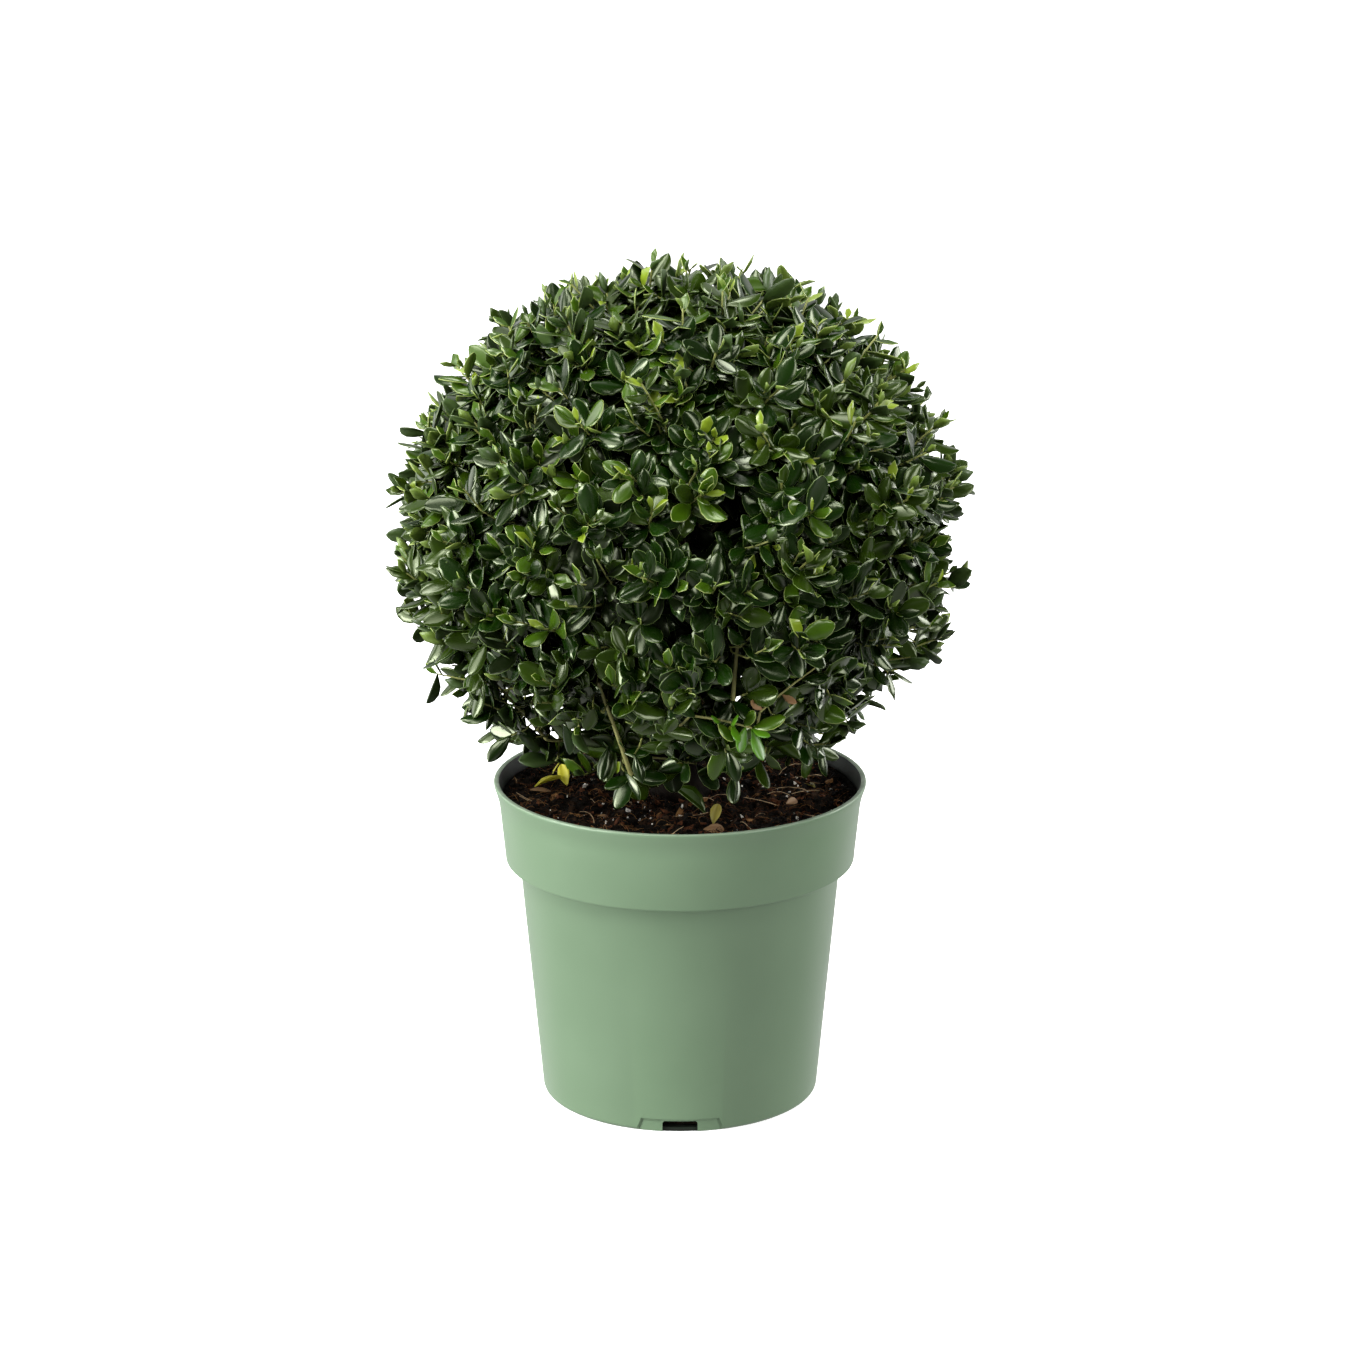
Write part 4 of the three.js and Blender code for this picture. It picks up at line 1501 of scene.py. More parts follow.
SPRIGS: tuple[Sprig, ...] = (
    Sprig((-0.0292, -0.0900, 0.2305), (-0.0480, -0.1180, 0.2960), 0.0014, 0.010, (
        (0.00, (-0.46, -0.20, -0.86), (-0.3, -0.8, 0.45), 0.0225, Tone.MID),
        (0.00, (0.95, -0.28, 0.04), (0.1, -0.72, 0.66), 0.0220, Tone.MID),
        (0.00, (-0.75, -0.40, -0.20), (-0.1, -0.6, 0.75), 0.0180, Tone.MID),
        (0.00, (0.40, 0.30, 0.35), (0.3, -0.6, 0.7), 0.0190, Tone.MID),
        (0.25, (0.92, -0.30, 0.18), (-0.1, -0.6, 0.8), 0.0170, Tone.MID),
        (0.55, (-0.80, -0.45, 0.25), (0.0, -0.5, 0.85), 0.0190, Tone.MID),
        (0.78, (0.75, -0.50, 0.30), (-0.1, -0.5, 0.85), 0.0200, Tone.MID),
    )),
    Sprig((0.0058, -0.1420, 0.2825), (0.0417, -0.1460, 0.2763), 0.0008, 0.006, (
        (0.05, (0.85, -0.20, -0.50), (0.1, -0.7, 0.7), 0.0200, Tone.MID),
        (0.10, (-0.50, -0.40, 0.60), (0.4, -0.7, 0.5), 0.0180, Tone.MID),
        (0.45, (0.60, -0.50, -0.55), (0.5, -0.7, 0.6), 0.0150, Tone.YOUNG),
        (0.50, (-0.30, -0.65, 0.45), (0.6, -0.3, 0.7), 0.0120, Tone.FRESH),
        (0.65, (0.15, -0.75, 0.50), (-0.7, -0.4, 0.6), 0.0150, Tone.FRESH),
        (0.70, (0.25, -0.80, -0.35), (0.6, -0.3, 0.7), 0.0150, Tone.FRESH),
        (0.85, (0.35, -0.55, 0.70), (-0.7, -0.6, 0.1), 0.0150, Tone.YOUNG),
        (0.90, (-0.15, -0.60, -0.70), (0.5, -0.8, 0.3), 0.0160, Tone.FRESH),
        (1.00, (0.85, -0.25, 0.45), (-0.1, -0.6, 0.8), 0.0210, Tone.YOUNG),
        (1.00, (0.40, -0.40, -0.80), (0.7, -0.6, 0.4), 0.0200, Tone.FRESH),
        (1.00, (0.70, -0.70, -0.05), (0.0, -0.3, 0.9), 0.0140, Tone.FRESH),
    )),
    Sprig((0.0464, -0.1400, 0.2842), (0.0783, -0.1340, 0.3091), 0.0007, 0.003, (
        (0.05, (-0.50, -0.50, 0.60), (0.3, -0.8, 0.5), 0.0110, Tone.SCORCHED),
        (0.40, (0.75, -0.40, -0.30), (0.1, -0.7, 0.7), 0.0100, Tone.SCORCHED),
        (0.75, (0.80, -0.40, 0.20), (-0.1, -0.7, 0.7), 0.0170, Tone.DARK),
        (0.80, (-0.60, -0.40, 0.60), (0.2, -0.8, 0.5), 0.0160, Tone.DARK),
        (1.00, (0.25, -0.35, 0.85), (-0.2, -0.9, 0.3), 0.0090, Tone.SCORCHED),
    )),
    Sprig((0.0307, -0.1250, 0.2872), (0.0336, -0.1300, 0.3248), 0.0014, 0.006, (
        (0.00, (0.60, -0.55, -0.40), (0.1, -0.6, 0.75), 0.0190, Tone.MID),
        (0.00, (-0.50, -0.45, -0.65), (-0.1, -0.8, 0.55), 0.0180, Tone.DARK),
        (0.05, (-0.70, -0.40, 0.30), (0.2, -0.7, 0.6), 0.0170, Tone.MID),
        (0.95, (0.65, -0.50, 0.50), (-0.1, -0.7, 0.7), 0.0180, Tone.MID),
    )),
    Sprig((-0.0806, -0.0450, 0.2389), (-0.1246, -0.0550, 0.2919), 0.0010, 0.003, (
        (0.30, (-0.35, -0.55, -0.70), (-0.3, -0.6, 0.6), 0.0170, Tone.OLIVE),
        (0.45, (0.75, -0.45, 0.35), (-0.1, -0.6, 0.75), 0.0180, Tone.OLIVE),
        (0.62, (-0.80, -0.40, -0.35), (0.0, -0.6, 0.75), 0.0170, Tone.OLIVE),
        (0.78, (0.55, -0.50, 0.60), (-0.2, -0.7, 0.6), 0.0170, Tone.MID),
        (0.90, (-0.55, -0.60, -0.50), (-0.2, -0.6, 0.7), 0.0160, Tone.YOUNG),
        (1.00, (-0.60, -0.40, 0.60), (0.1, -0.8, 0.5), 0.0160, Tone.YOUNG),
    )),
    # Painted shade: this low twig's leaves take the darkest tones in front of the trunk.
    Sprig((-0.0240, -0.0620, 0.2330), (0.0100, -0.0700, 0.2310), 0.0008, 0.001, (
        (0.20, (-0.30, -0.30, -0.90), (0.0, -0.8, 0.5), 0.0190, Tone.DEEP_SHADE),
        (0.45, (0.25, -0.35, -0.90), (0.1, -0.8, 0.5), 0.0200, Tone.DARK),
        (0.70, (-0.20, -0.25, -0.95), (-0.2, -0.8, 0.5), 0.0190, Tone.DEEP_SHADE),
        (1.00, (0.65, -0.40, -0.60), (0.1, -0.7, 0.6), 0.0200, Tone.DARK),
    )),
)


@dataclass
class Crown:
    """Branches, twigs and leaves that grow on from the boughs to the clipped outline.

    A gap is a place across and a height on the upright plane through the middle, and a radius, where the sky
    shows along the line of sight. A hollow is a place on the ball, and a radius.
    """

    ball: Ball = field(default_factory=Ball)
    seed: int = 7
    branches: Order = Order(46, (0.50, 0.58), (0.0019, 0.0014), 0.02, 0.0, (7, 7))
    twigs: Order = Order(260, (0.74, 0.80), (0.0012, 0.0009), 0.05, 0.15, (5, 5))
    shoots: Order = Order(880, (0.845, 0.96), (0.00085, 0.0006), 0.06, 0.56, (4, 4))
    start_span: Span = (0.62, 1.0)
    bend_along: float = 0.30
    bend_ahead: float = 0.22
    highest: float = 90.0
    lowest: float = -64.0
    skirt_start: float = -0.45
    skirt_reach: float = 0.45
    skirt_foot: float = 0.208
    skirt_thinning: float = 0.62
    skirt_onset: float = 0.7
    outline: float = 1.025
    shade_outline: float = 0.95
    sectors: int = 6
    spray_nodes: int = 8
    inner_count: int = 4
    leaf_count: int = 5
    tip_count: int = 2
    grown_leaf: LeafKind = LeafKind((0.0240, 0.0205), 1.0, (0.18, 0.22), (0.30, 0.25))
    tip_leaf: LeafKind = LeafKind((0.0150, 0.0095), 0.9, (-0.25, 0.22), (-0.34, 0.25))
    leaf_start: float = 0.30
    leaf_crowding: float = 0.9
    leaf_jitter: float = 0.02
    leaf_turn: float = 0.2
    leaf_leans: Span = (82.0, 36.0)
    lean_fall: float = 1.3
    lean_spread: float = 10.0
    lift_middle: float = 0.25
    lift_fall: float = 0.5
    lift_span: Span = (-0.1, 0.75)
    face_outward: float = 0.5
    face_up: Span = (0.35, 0.4)
    face_ruffle: float = 0.30
    length_span: Span = (0.85, 1.15)
    width_span: Span = (0.45, 0.56)
    vigour_span: Span = (0.85, 1.12)
    skirt_vigour: float = 0.12
    inner_thinning: float = 0.75
    outer_thinning: float = 0.15
    side_start: float = 0.55
    side_reach: float = 0.35
    # Painted light and shade in the spray tones: lighter at the top, the sides, the lower half and the skirt,
    # darker at the upper left.
    top_painted_light: float = 0.34
    top_dip: float = -0.1
    under_painted_light: float = 0.60
    skirt_light: float = 0.35
    side_painted_light: float = 1.5
    left_painted_shade: float = 0.5
    left_reach: float = 0.55
    left_drop: float = 0.4
    tone_steps: tuple[float, float, float] = (0.12, 0.5, 0.85)
    lush_share: float = 0.18
    lush_top: float = 0.34
    lush_dip: float = -0.3
    # Painted light: more lush, paler sprays at the left and right flanks.
    lush_side_painted_light: float = 0.7
    olive_share: Span = (0.55, 0.4)
    pale_tips: float = 0.6
    young_share: float = 0.40
    young_start: float = 0.45
    droop_share: float = 0.22
    droop_band: Span = (0.05, 0.7)
    droop_reach: Span = (0.2, 0.8)
    droop_stray: float = 0.2
    droop_ruffle: float = 0.6
    droop_length: Span = (0.016, 0.022)
    droop_width: Span = (0.36, 0.48)
    droop_curl: Span = (0.5, 0.3)
    droop_cup: Span = (0.7, 0.3)
    shade_count: int = 14
    shade_span: Span = (0.35, 1.0)
    shade_lean: float = 0.25
    shade_ruffle: float = 0.35
    shade_length: Span = (0.020, 0.027)
    shade_fullness: float = 0.55
    shade_cup: float = 0.2
    shade_thinning: float = 1.6
    sprigs: tuple[Sprig, ...] = SPRIGS
    sprig_tube: tuple[int, int] = (8, 8)
    sprig_tapers: tuple[Span, Span] = ((1.2, 1.0), (1.0, 0.7))
    sprig_sag: float = 0.003
    sprig_rise: float = 0.002
    sprig_bend: float = 0.45
    sprig_fullness: float = 0.5
    sprig_cup: float = 0.22
    sight: Place = (0.0, 0.96146, -0.27496)
    sight_steps: int = 8
    sight_slack: float = 0.003
    sight_widening: float = 1.2
    gap_margin: float = 0.15
    gaps: tuple[tuple[float, float, float], ...] = (
        (-0.1012, 0.2567, 0.0020), (-0.0912, 0.2517, 0.0018), (-0.0938, 0.2405, 0.0015),
        (-0.0799, 0.2336, 0.0016), (-0.0736, 0.2457, 0.0012), (-0.1387, 0.2730, 0.0014),
        (-0.1300, 0.2640, 0.0014), (-0.1612, 0.3150, 0.0014), (0.0370, 0.2643, 0.0018),
        (0.0302, 0.2864, 0.0014), (0.0197, 0.2431, 0.0014), (0.1371, 0.2923, 0.0016),
        (0.1383, 0.2871, 0.0016), (0.1290, 0.2799, 0.0020), (0.1208, 0.2708, 0.0014),
        (0.0764, 0.2630, 0.0012), (0.0839, 0.2279, 0.0016), (0.1596, 0.3300, 0.0014),
    )
    hollows: tuple[tuple[Place, float], ...] = (
        ((0.004, -0.168, 0.402), 0.021), ((0.026, -0.166, 0.397), 0.020), ((0.030, -0.150, 0.318), 0.015),
        ((0.118, 0.120, 0.372), 0.020), ((-0.130, 0.105, 0.345), 0.018), ((0.030, 0.168, 0.330), 0.018),
    )
    wood: PlainFinish = PlainFinish("twig_wood", linear(84, 74, 54), 0.8, 0.3)
    green: PlainFinish = PlainFinish("shoot_green", linear(128, 132, 70), 0.55)
    tan: PlainFinish = PlainFinish("sprig_tan", linear(130, 128, 74), 0.6)

    def build(self, boughs: Twigs) -> None:
        """Grows the crown order by order and hands its pieces to the frame.

        Args:
            boughs: The curves that it grows on from.
        """
        random = np.random.default_rng(self.seed)
        branches = self.order(boughs, self.branches, random)
        twigs = self.order(branches, self.twigs, random)
        shoots = self.thinned(self.order(twigs, self.shoots, random), random)
        sprigs = [self.clear_sprig(sprig, boughs) for sprig in self.sprigs]
        self.build_stems(branches, twigs, shoots, [stems for stems, _ in sprigs])
        lower, grown, tips = (self.opened(lot) for lot in self.leaves_of(shoots, random))
        grown = Leaves.joined([grown, self.drooping(shoots, random)] + [leaves for _, leaves in sprigs])
        inner = self.opened(self.inner_leaves(twigs, random))
        self.build_leaves([
            (grown, GROWN_BLADE), (lower, SMALL_BLADE), (tips, SMALL_BLADE), (inner, INNER_BLADE),
        ])

    def build_stems(self, branches: Twigs, twigs: Twigs, shoots: Twigs, sprigs: list[Twigs]) -> None:
        """Makes the woody twigs one piece, and the green shoots with the single sprigs another.

        Args:
            branches: The first order.
            twigs: The second order.
            shoots: The last order.
            sprigs: Stems of the sprigs that stand clear.
        """
        first, second = np.zeros(1, int), np.ones(1, int)
        wood, green = Pile(), Pile()
        wood.add(*branches.tubes(*self.branches.tube), first)
        wood.add(*twigs.tubes(*self.twigs.tube), first)
        green.add(*shoots.tubes(*self.shoots.tube), first)
        for stems in sprigs:
            green.add(*stems.tubes(*self.sprig_tube), second)
        settle(wood.build("twigs", [self.wood]), "twigs", "bark")
        settle(green.build("shoots", [self.green, self.tan]), "shoots", "bark")

    def build_leaves(self, lots: list[tuple[Leaves, Blade]]) -> None:
        """Makes one piece of the leaves in each sector about the upright.

        Args:
            lots: Leaves of each kind with their outline.
        """
        nodes = ["crown"] + [f"skirt_spray_{index + 1}" for index in range(self.spray_nodes)]
        for sector in range(self.sectors):
            pile = Pile()
            for lot, blade in lots:
                lot.chosen(self.sector_of(lot) == sector).heap(pile, blade)
            name = f"leaves_{sector + 1}"
            settle(pile.build(name, LEAF_FINISHES), name, "foliage", *(nodes if sector == 0 else ()))

    def sector_of(self, lot: Leaves) -> Array:
        """Tells in which sector about the upright each leaf stands."""
        turn = np.arctan2(lot.foot[:, 1], lot.foot[:, 0]) / FULL_TURN % 1
        return np.floor(turn * self.sectors)

    def lowness(self, points: Array) -> Array:
        """Tells how far points stand down the skirt, from 0 at its top to 1 at its foot."""
        return np.clip((self.skirt_start - self.ball.highness(points)) / self.skirt_reach, 0, 1)

    def sideness(self, points: Array) -> Array:
        """Tells how far points stand out to the left or right side."""
        return np.clip(np.abs(points[:, 0]) / self.ball.radius - self.side_start, 0, self.side_reach)

    def in_hollow(self, points: Array) -> Array:
        """Tells which points stand in one of the ball's dark hollows."""
        near = [np.linalg.norm(points - np.array(middle), axis=1) < radius for middle, radius in self.hollows]
        return np.any(near, axis=0)

    def order(self, parents: Twigs, plan: Order, random: np.random.Generator) -> Twigs:
        """Grows the next order of twigs from the nearest ones of the order before.

        Args:
            parents: The order before.
            plan: The new order's sizes.
            random: Where its draws come from.

        Returns:
            The new twigs.
        """
        count = plan.count
        directions = golden_directions(count, self.highest, self.lowest)
        directions = unit(directions + plan.stray * random.normal(size=directions.shape))
        tips = self.ball.point(directions, random.uniform(*plan.shares, count))
        gaps = np.linalg.norm(tips[:, None] - parents.tip[None], axis=2)
        parent = parents.chosen(np.argmin(gaps, axis=1))
        start = random.uniform(*self.start_span, count)
        foot = parent.point(start)
        length = np.linalg.norm(tips - foot, axis=1, keepdims=True)
        bend = foot + length * (self.bend_along * parent.heading(start) + self.bend_ahead * unit(tips - foot))
        depth = np.clip(0.5 + 0.5 * (self.ball.centre - tips[:, 2:]) / self.ball.radius, 0, 1)
        bend -= UP * length * plan.sweep * depth
        return Twigs(foot, bend, tips, np.full(count, plan.radii[0]), np.full(count, plan.radii[1]))

    def thinned(self, shoots: Twigs, random: np.random.Generator) -> Twigs:
        """Leaves out shoots low on the skirt and in the ball's hollows.

        Args:
            shoots: The last order of twigs.
            random: Where its draws come from.

        Returns:
            The shoots that stay.
        """
        low = self.lowness(shoots.tip)
        kept = random.random(len(low)) > self.skirt_thinning * low**self.skirt_onset
        return shoots.chosen(kept & ~self.in_hollow(shoots.tip))

    def clear_sprig(self, sprig: Sprig, boughs: Twigs) -> tuple[Twigs, Leaves]:
        """Grows a sprig that stands clear of the crown.

        Args:
            sprig: Its plan.
            boughs: The boughs, of which it goes on from the nearest tip.

        Returns:
            Its stems and its leaves.
        """
        node, tip = np.array(sprig.node), np.array(sprig.tip)
        start = boughs.tip[np.argmin(np.linalg.norm(boughs.tip - node, axis=1))]
        hang = lerp(start, node, 0.5) - UP * self.sprig_sag
        rise = lerp(node, tip, self.sprig_bend) + UP * self.sprig_rise
        thick, thin = sprig.radius * np.array(self.sprig_tapers).T
        stems = Twigs(np.stack([start, node]), np.stack([hang, rise]), np.stack([node, tip]), thick, thin)
        share, reach, face, length, tone = (np.array(part) for part in zip(*sprig.leaves))
        along = unit(reach)
        foot = lerp(node, tip, share[:, None])
        width = length * self.sprig_fullness
        level = np.full(len(share), self.sprig_cup)
        return stems, Leaves(foot, along, square_to(along, face), length, width, level, level, tone)

    def leaves_of(self, shoots: Twigs, random: np.random.Generator) -> tuple[Leaves, ...]:
        """Sets leaves up every shoot, each a golden angle on from the last.

        Args:
            shoots: The last order of twigs.
            random: Where its draws come from.

        Returns:
            The lower leaves, the grown ones, and the small ones at the tips.
        """
        count = len(shoots.foot)
        high, low = self.ball.highness(shoots.tip), self.lowness(shoots.tip)
        start = random.uniform(0, FULL_TURN, count)
        tone = self.spray_tones(shoots.tip, random)
        vigour = random.uniform(*self.vigour_span, count) * (1 + self.skirt_vigour * low)
        lush_share = self.lush_share + self.lush_top * np.maximum(high, self.lush_dip)
        # The share of lush sprays grows at the top, and at the flanks as painted light.
        lush = random.random(count) < lush_share + self.lush_side_painted_light * self.sideness(shoots.tip)
        sprays = Sprays(start, tone, vigour, lush)
        grown = self.inner_count + self.leaf_count
        total = grown + self.tip_count
        lots = [self.leaf_rank(shoots, sprays, rank, random) for rank in range(total)]
        ends = (0, self.inner_count, grown, total)
        parts = [Leaves.joined(lots[first:last]) for first, last in zip(ends, ends[1:])]
        return tuple(self.clipped(part, self.outline) for part in parts)

    def spray_tones(self, tips: Array, random: np.random.Generator) -> Array:
        """Deals each spray its colour: a random draw with painted light and shade, lighter tones at the top,
        the sides, the lower half and the skirt, darker tones at the upper left.

        Args:
            tips: Tips of the sprays' shoots.
            random: Where its draws come from.

        Returns:
            Colours of the grown leaves.
        """
        high = self.ball.highness(tips)
        left = np.clip(-tips[:, 0] / self.ball.radius, 0, self.left_reach)
        # Painted light and shade: the random draw is shifted lighter or darker by place.
        light = random.random(len(tips)) + self.top_painted_light * np.maximum(high, self.top_dip)
        light += self.under_painted_light * np.clip(-high, 0, 1) + self.skirt_light * self.lowness(tips)
        light += self.side_painted_light * self.sideness(tips)
        light -= self.left_painted_shade * left * np.clip(high + self.left_drop, 0, 1)
        below = [light < step for step in self.tone_steps]
        return np.select(below, [Tone.DEEP_SHADE, Tone.DARK, Tone.MID], Tone.OLIVE)

    def leaf_rank(self, shoots: Twigs, sprays: Sprays, rank: int, random: np.random.Generator) -> Leaves:
        """Sets one leaf on every shoot.

        Args:
            shoots: The last order of twigs.
            sprays: What each shoot's leaves have in common.
            rank: The leaf's number, counted from the foot.
            random: Where its draws come from.

        Returns:
            The leaves that stay.
        """
        count = len(shoots.foot)
        grown = self.inner_count + self.leaf_count
        share = rank / (grown + self.tip_count - 1)
        small = rank >= grown
        kind = self.tip_leaf if small else self.grown_leaf
        high, low = self.ball.highness(shoots.tip), self.lowness(shoots.tip)
        under = np.clip(-high, 0, 1)
        place = lerp(self.leaf_start, 1.0, share**self.leaf_crowding)
        place = np.clip(place + random.uniform(-self.leaf_jitter, self.leaf_jitter, count), 0, 1)
        axis = shoots.heading(place)
        first = unit(np.cross(axis, LEAF_ASIDE))
        second = np.cross(axis, first)
        turn = sprays.start + rank * GOLDEN_ANGLE + random.normal(0, self.leaf_turn, count)
        outward = first * np.cos(turn)[:, None] + second * np.sin(turn)[:, None]
        lean = lerp(*self.leaf_leans, share**self.lean_fall) + random.normal(0, self.lean_spread, count)
        lean = np.radians(lean)[:, None]
        along = axis * np.cos(lean) + outward * np.sin(lean)
        along[:, 2] += np.clip(self.lift_middle - self.lift_fall * high, *self.lift_span)
        along = unit(along)
        upward = self.face_up[0] + self.face_up[1] * under
        face = axis + self.face_outward * self.ball.outward(shoots.tip) + UP * upward[:, None]
        face = square_to(along, face + self.face_ruffle * random.normal(size=axis.shape))
        length = sprays.vigour * lerp(*kind.length, rank - grown if small else share)
        length = length * random.uniform(*self.length_span, count)
        width = length * random.uniform(*self.width_span, count) * kind.fullness
        curl = random.normal(*kind.curl, count)
        cup = random.normal(*kind.cup, count)
        tone = self.leaf_tones(sprays, share, small, under, random)
        lot = Leaves(shoots.point(place), along, face, length, width, curl, cup, tone)
        thinning = self.inner_thinning if rank < self.inner_count else self.outer_thinning
        return lot.chosen(random.random(count) > thinning * low)

    def leaf_tones(
        self, sprays: Sprays, share: float, small: bool, under: Array, random: np.random.Generator,
    ) -> Array:
        """Deals one rank of leaves their colours, paler at the tips of lush shoots.

        Args:
            sprays: What each shoot's leaves have in common.
            share: How far up the shoot the leaf stands.
            small: Whether it is one of the small leaves at the tip.
            under: How far each shoot stands below the ball's middle.
            random: Where its draws come from.

        Returns:
            The colours.
        """
        fresh = random.random(len(under))
        if small:
            olive = fresh < self.olive_share[0] + self.olive_share[1] * under
            pale = np.where(fresh < self.pale_tips, Tone.TIP, Tone.YOUNG)
            return np.where(sprays.lush, pale, np.where(olive, Tone.OLIVE, Tone.YOUNG))
        if share > self.young_start:
            return np.where(sprays.lush & (fresh < self.young_share), Tone.YOUNG, sprays.tone)
        return sprays.tone.copy()

    def drooping(self, shoots: Twigs, random: np.random.Generator) -> Leaves:
        """Hangs a loose leaf from the tips of some low shoots.

        Args:
            shoots: The last order of twigs.
            random: Where its draws come from.

        Returns:
            The hanging leaves.
        """
        low = self.lowness(shoots.tip)
        within = (low > self.droop_band[0]) & (low < self.droop_band[1])
        rows = shoots.chosen(within & (random.random(len(low)) < self.droop_share))
        count = len(rows.foot)
        outward = unit((rows.tip - UP * self.ball.centre) * np.array([1, 1, 0]))
        reach = outward * random.uniform(*self.droop_reach, (count, 1))
        along = unit(reach - UP + self.droop_stray * random.normal(size=(count, 3)))
        face = square_to(along, outward + self.droop_ruffle * random.normal(size=(count, 3)))
        length = random.uniform(*self.droop_length, count)
        width = length * random.uniform(*self.droop_width, count)
        curl = random.normal(*self.droop_curl, count)
        cup = random.normal(*self.droop_cup, count)
        return Leaves(rows.tip, along, face, length, width, curl, cup, np.full(count, int(Tone.DARK)))

    def inner_leaves(self, twigs: Twigs, random: np.random.Generator) -> Leaves:
        """Sets leaves in the darkest tone, a painted shade, along the twigs inside the crown, turned to face
        outwards.

        Args:
            twigs: The order before the last.
            random: Where its draws come from.

        Returns:
            The inner leaves.
        """
        lots = []
        count = len(twigs.foot)
        outward = self.ball.outward(twigs.tip)
        level = np.full(count, self.shade_cup)
        tone = np.full(count, int(Tone.DEEP_SHADE))
        for _ in range(self.shade_count):
            foot = twigs.point(random.uniform(*self.shade_span, count))
            along = unit(np.cross(outward, random.normal(size=(count, 3))) + self.shade_lean * outward)
            face = square_to(along, outward + self.shade_ruffle * random.normal(size=(count, 3)))
            length = random.uniform(*self.shade_length, count)
            width = length * self.shade_fullness
            lots.append(Leaves(foot, along, face, length, width, level, level, tone))
        shade = self.clipped(Leaves.joined(lots), self.shade_outline)
        return shade.chosen(random.random(len(shade)) > self.shade_thinning * self.lowness(shade.foot))

    def clipped(self, lot: Leaves, limit: float) -> Leaves:
        """Drops leaves that would reach past the clipped outline or into the compost.

        Args:
            lot: The leaves.
            limit: How far they may reach, as a share of the ball.

        Returns:
            The leaves that stay.
        """
        ends = lot.ends()
        lowest = np.minimum(ends[:, 2], lot.foot[:, 2])
        return lot.chosen((self.ball.share(ends) < limit) & (lowest > self.skirt_foot))

    def opened(self, lot: Leaves) -> Leaves:
        """Drops the leaves that would fill a gap where sky shows, or hide a sprig that stands clear.

        Args:
            lot: The leaves.

        Returns:
            Those that stay.
        """
        sight = np.array(self.sight)
        ends = lot.ends()
        keep = np.ones(len(lot), bool)
        for x, height, radius in self.gaps:
            place = np.array([x, 0.0, height])
            keep &= self.off_line(lot.foot, ends, place, sight) > radius + self.gap_margin * lot.width
        for sprig in self.sprigs:
            for share in np.linspace(0, 1, self.sight_steps):
                place = lerp(np.array(sprig.node), np.array(sprig.tip), share)
                ahead = (0.5 * (lot.foot + ends) - place) @ sight < self.sight_slack
                room = sprig.room * (self.sight_widening - share)
                keep &= ~ahead | (self.off_line(lot.foot, ends, place, sight) > room)
        return lot.chosen(keep)

    @staticmethod
    def off_line(first: Array, last: Array, place: Array, heading: Array) -> Array:
        """Measures how near lines pass to a line of sight.

        Args:
            first: Where each line starts.
            last: Where it ends.
            place: A point of the line of sight.
            heading: Its direction.

        Returns:
            The least distance of each, seen along the line of sight.
        """
        start = first - place - ((first - place) @ heading)[:, None] * heading
        reach = last - first - ((last - first) @ heading)[:, None] * heading
        share = -np.sum(start * reach, axis=1) / np.maximum(np.sum(reach**2, axis=1), TINY)
        return np.linalg.norm(start + np.clip(share, 0, 1)[:, None] * reach, axis=1)


@dataclass(frozen=True)
class Panel:
    """One soft rectangular lamp, with its power in watts."""

    name: str
    place: Place
    size: Span
    power: float


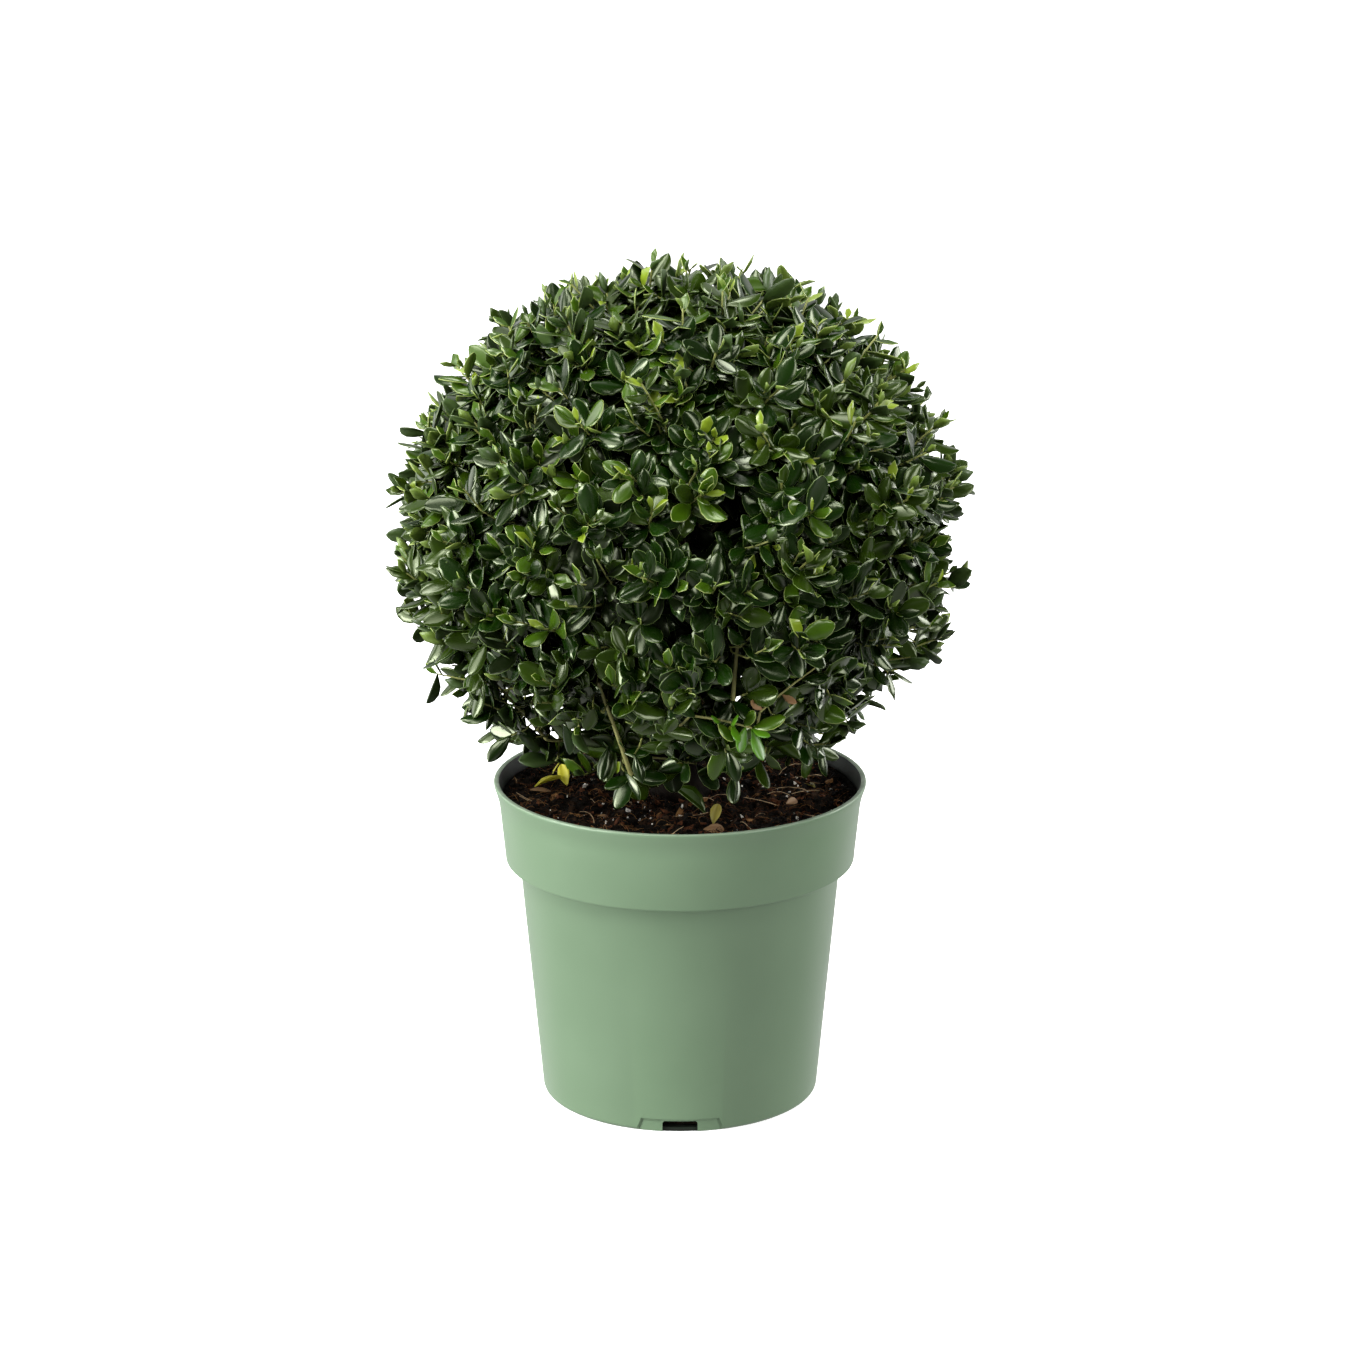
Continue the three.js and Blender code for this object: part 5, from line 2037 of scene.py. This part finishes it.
@dataclass
class Studio:
    """Floor, light and camera."""

    floor_size: float = 60.0
    floor_glow: float = 0.62
    floor_finish: PlainFinish = PlainFinish("floor_white", (0.9, 0.9, 0.9), 0.9, 0.0)
    target: Place = (0.0, 0.0, 0.2635)
    distance: float = 2.522
    elevation: float = 15.96
    lens: float = 108.8
    sensor: float = 36.0
    room: float = 0.10
    backdrop: float = 0.95
    backdrop_edges: Span = (0.2, 0.7)
    ground: float = 0.78
    ground_edges: Span = (-0.7, -0.3)
    key_place: Place = (-1.5, -0.85, 2.7)
    key_power: float = 2.5
    key_angle: float = 24.0
    panels: tuple[Panel, ...] = (
        Panel("overhead", (-0.3, 0.3, 2.4), (0.8, 0.8), 35),
        Panel("left_panel", (-2.4, -0.95, 0.9), (1.5, 1.8), 61),
        Panel("right_panel", (2.1, -1.7, 0.9), (1.2, 1.6), 60),
        Panel("low_panel", (-2.4, -1.1, 0.2), (1.7, 0.8), 103),
        Panel("left_edge", (-2.0, 0.9, 0.7), (0.8, 1.4), 14),
        Panel("right_edge", (2.2, 0.9, 0.8), (0.8, 1.4), 44),
        Panel("front_panel", (-0.5, -1.8, 2.4), (1.0, 1.0), 36),
    )

    def build(self) -> None:
        """Sets up the whole studio."""
        self.lay_floor()
        self.surround()
        bpy.context.scene.view_settings.view_transform = "Standard"
        self.hang_key()
        for panel in self.panels:
            self.hang(panel)
        self.set_camera()

    def lay_floor(self) -> None:
        """Lays a pale floor that glows evenly and lights nothing."""
        deselect()
        bpy.ops.mesh.primitive_plane_add(size=self.floor_size, location=(0, 0, 0))
        floor = bpy.context.object
        floor.name = "floor"
        floor.data.materials.append(self.floor_finish.material())
        glow = floor.data.materials[0].node_tree.nodes["Principled BSDF"].inputs
        glow["Emission Color"].default_value = (1, 1, 1, 1)
        glow["Emission Strength"].default_value = self.floor_glow
        floor.visible_diffuse = floor.visible_glossy = False

    def surround(self) -> None:
        """Makes the soft light all round: a pale backdrop and ground, and a darker room in front."""
        world = bpy.data.worlds.new("studio")
        world.use_nodes = True
        graph = Graph(world.node_tree)
        place = graph.node("ShaderNodeTexCoord").outputs["Generated"]
        parts = graph.node("ShaderNodeSeparateXYZ", {"Vector": place}).outputs
        levels = []
        for axis, edges, low, high in (
            ("Y", self.backdrop_edges, self.room, self.backdrop), ("Z", self.ground_edges, self.ground, 0.0),
        ):
            levels.append(graph.node("ShaderNodeMapRange", {
                "Value": parts[axis], "From Min": edges[0], "From Max": edges[1],
                "To Min": low, "To Max": high,
            }).outputs["Result"])
        strength = graph.node("ShaderNodeMath", dict(enumerate(levels)), operation="MAXIMUM").outputs["Value"]
        background = world.node_tree.nodes["Background"]
        background.inputs["Color"].default_value = (1, 1, 1, 1)
        graph.feed(background.inputs["Strength"], strength)
        bpy.context.scene.world = world

    def aim(self, thing: bpy.types.Object) -> None:
        """Turns a light or camera to the target."""
        heading = Vector(self.target) - thing.location
        thing.rotation_euler = heading.to_track_quat("-Z", "Y").to_euler()

    def hang_key(self) -> None:
        """Hangs the wide soft key light at the upper left."""
        deselect()
        bpy.ops.object.light_add(type="SUN", location=self.key_place)
        lamp = bpy.context.object
        lamp.name = "key"
        lamp.data.energy = self.key_power
        lamp.data.angle = math.radians(self.key_angle)
        self.aim(lamp)

    def hang(self, panel: Panel) -> None:
        """Hangs a soft lamp that looks at the shrub.

        Args:
            panel: The lamp.
        """
        deselect()
        bpy.ops.object.light_add(type="AREA", location=panel.place)
        lamp = bpy.context.object
        lamp.name = panel.name
        lamp.data.shape = "RECTANGLE"
        lamp.data.size, lamp.data.size_y = panel.size
        lamp.data.energy = panel.power
        self.aim(lamp)

    def set_camera(self) -> None:
        """Sets the camera at the photographed angle."""
        rise = math.radians(self.elevation)
        offset = Vector((0, -math.cos(rise), math.sin(rise))) * self.distance
        deselect()
        bpy.ops.object.camera_add(location=Vector(self.target) + offset)
        camera = bpy.context.object
        camera.data.lens = self.lens
        camera.data.sensor_width = self.sensor
        self.aim(camera)
        bpy.context.scene.camera = camera


def main() -> None:
    """Builds every sub-assembly in order and notes the sizes."""
    logging.basicConfig(level=logging.INFO, format="%(name)s %(message)s")
    Pot().build()
    Soil().build()
    boughs = Limbs().build()
    Crown().build(boughs)
    Studio().build()


if __name__ == "__main__":
    main()
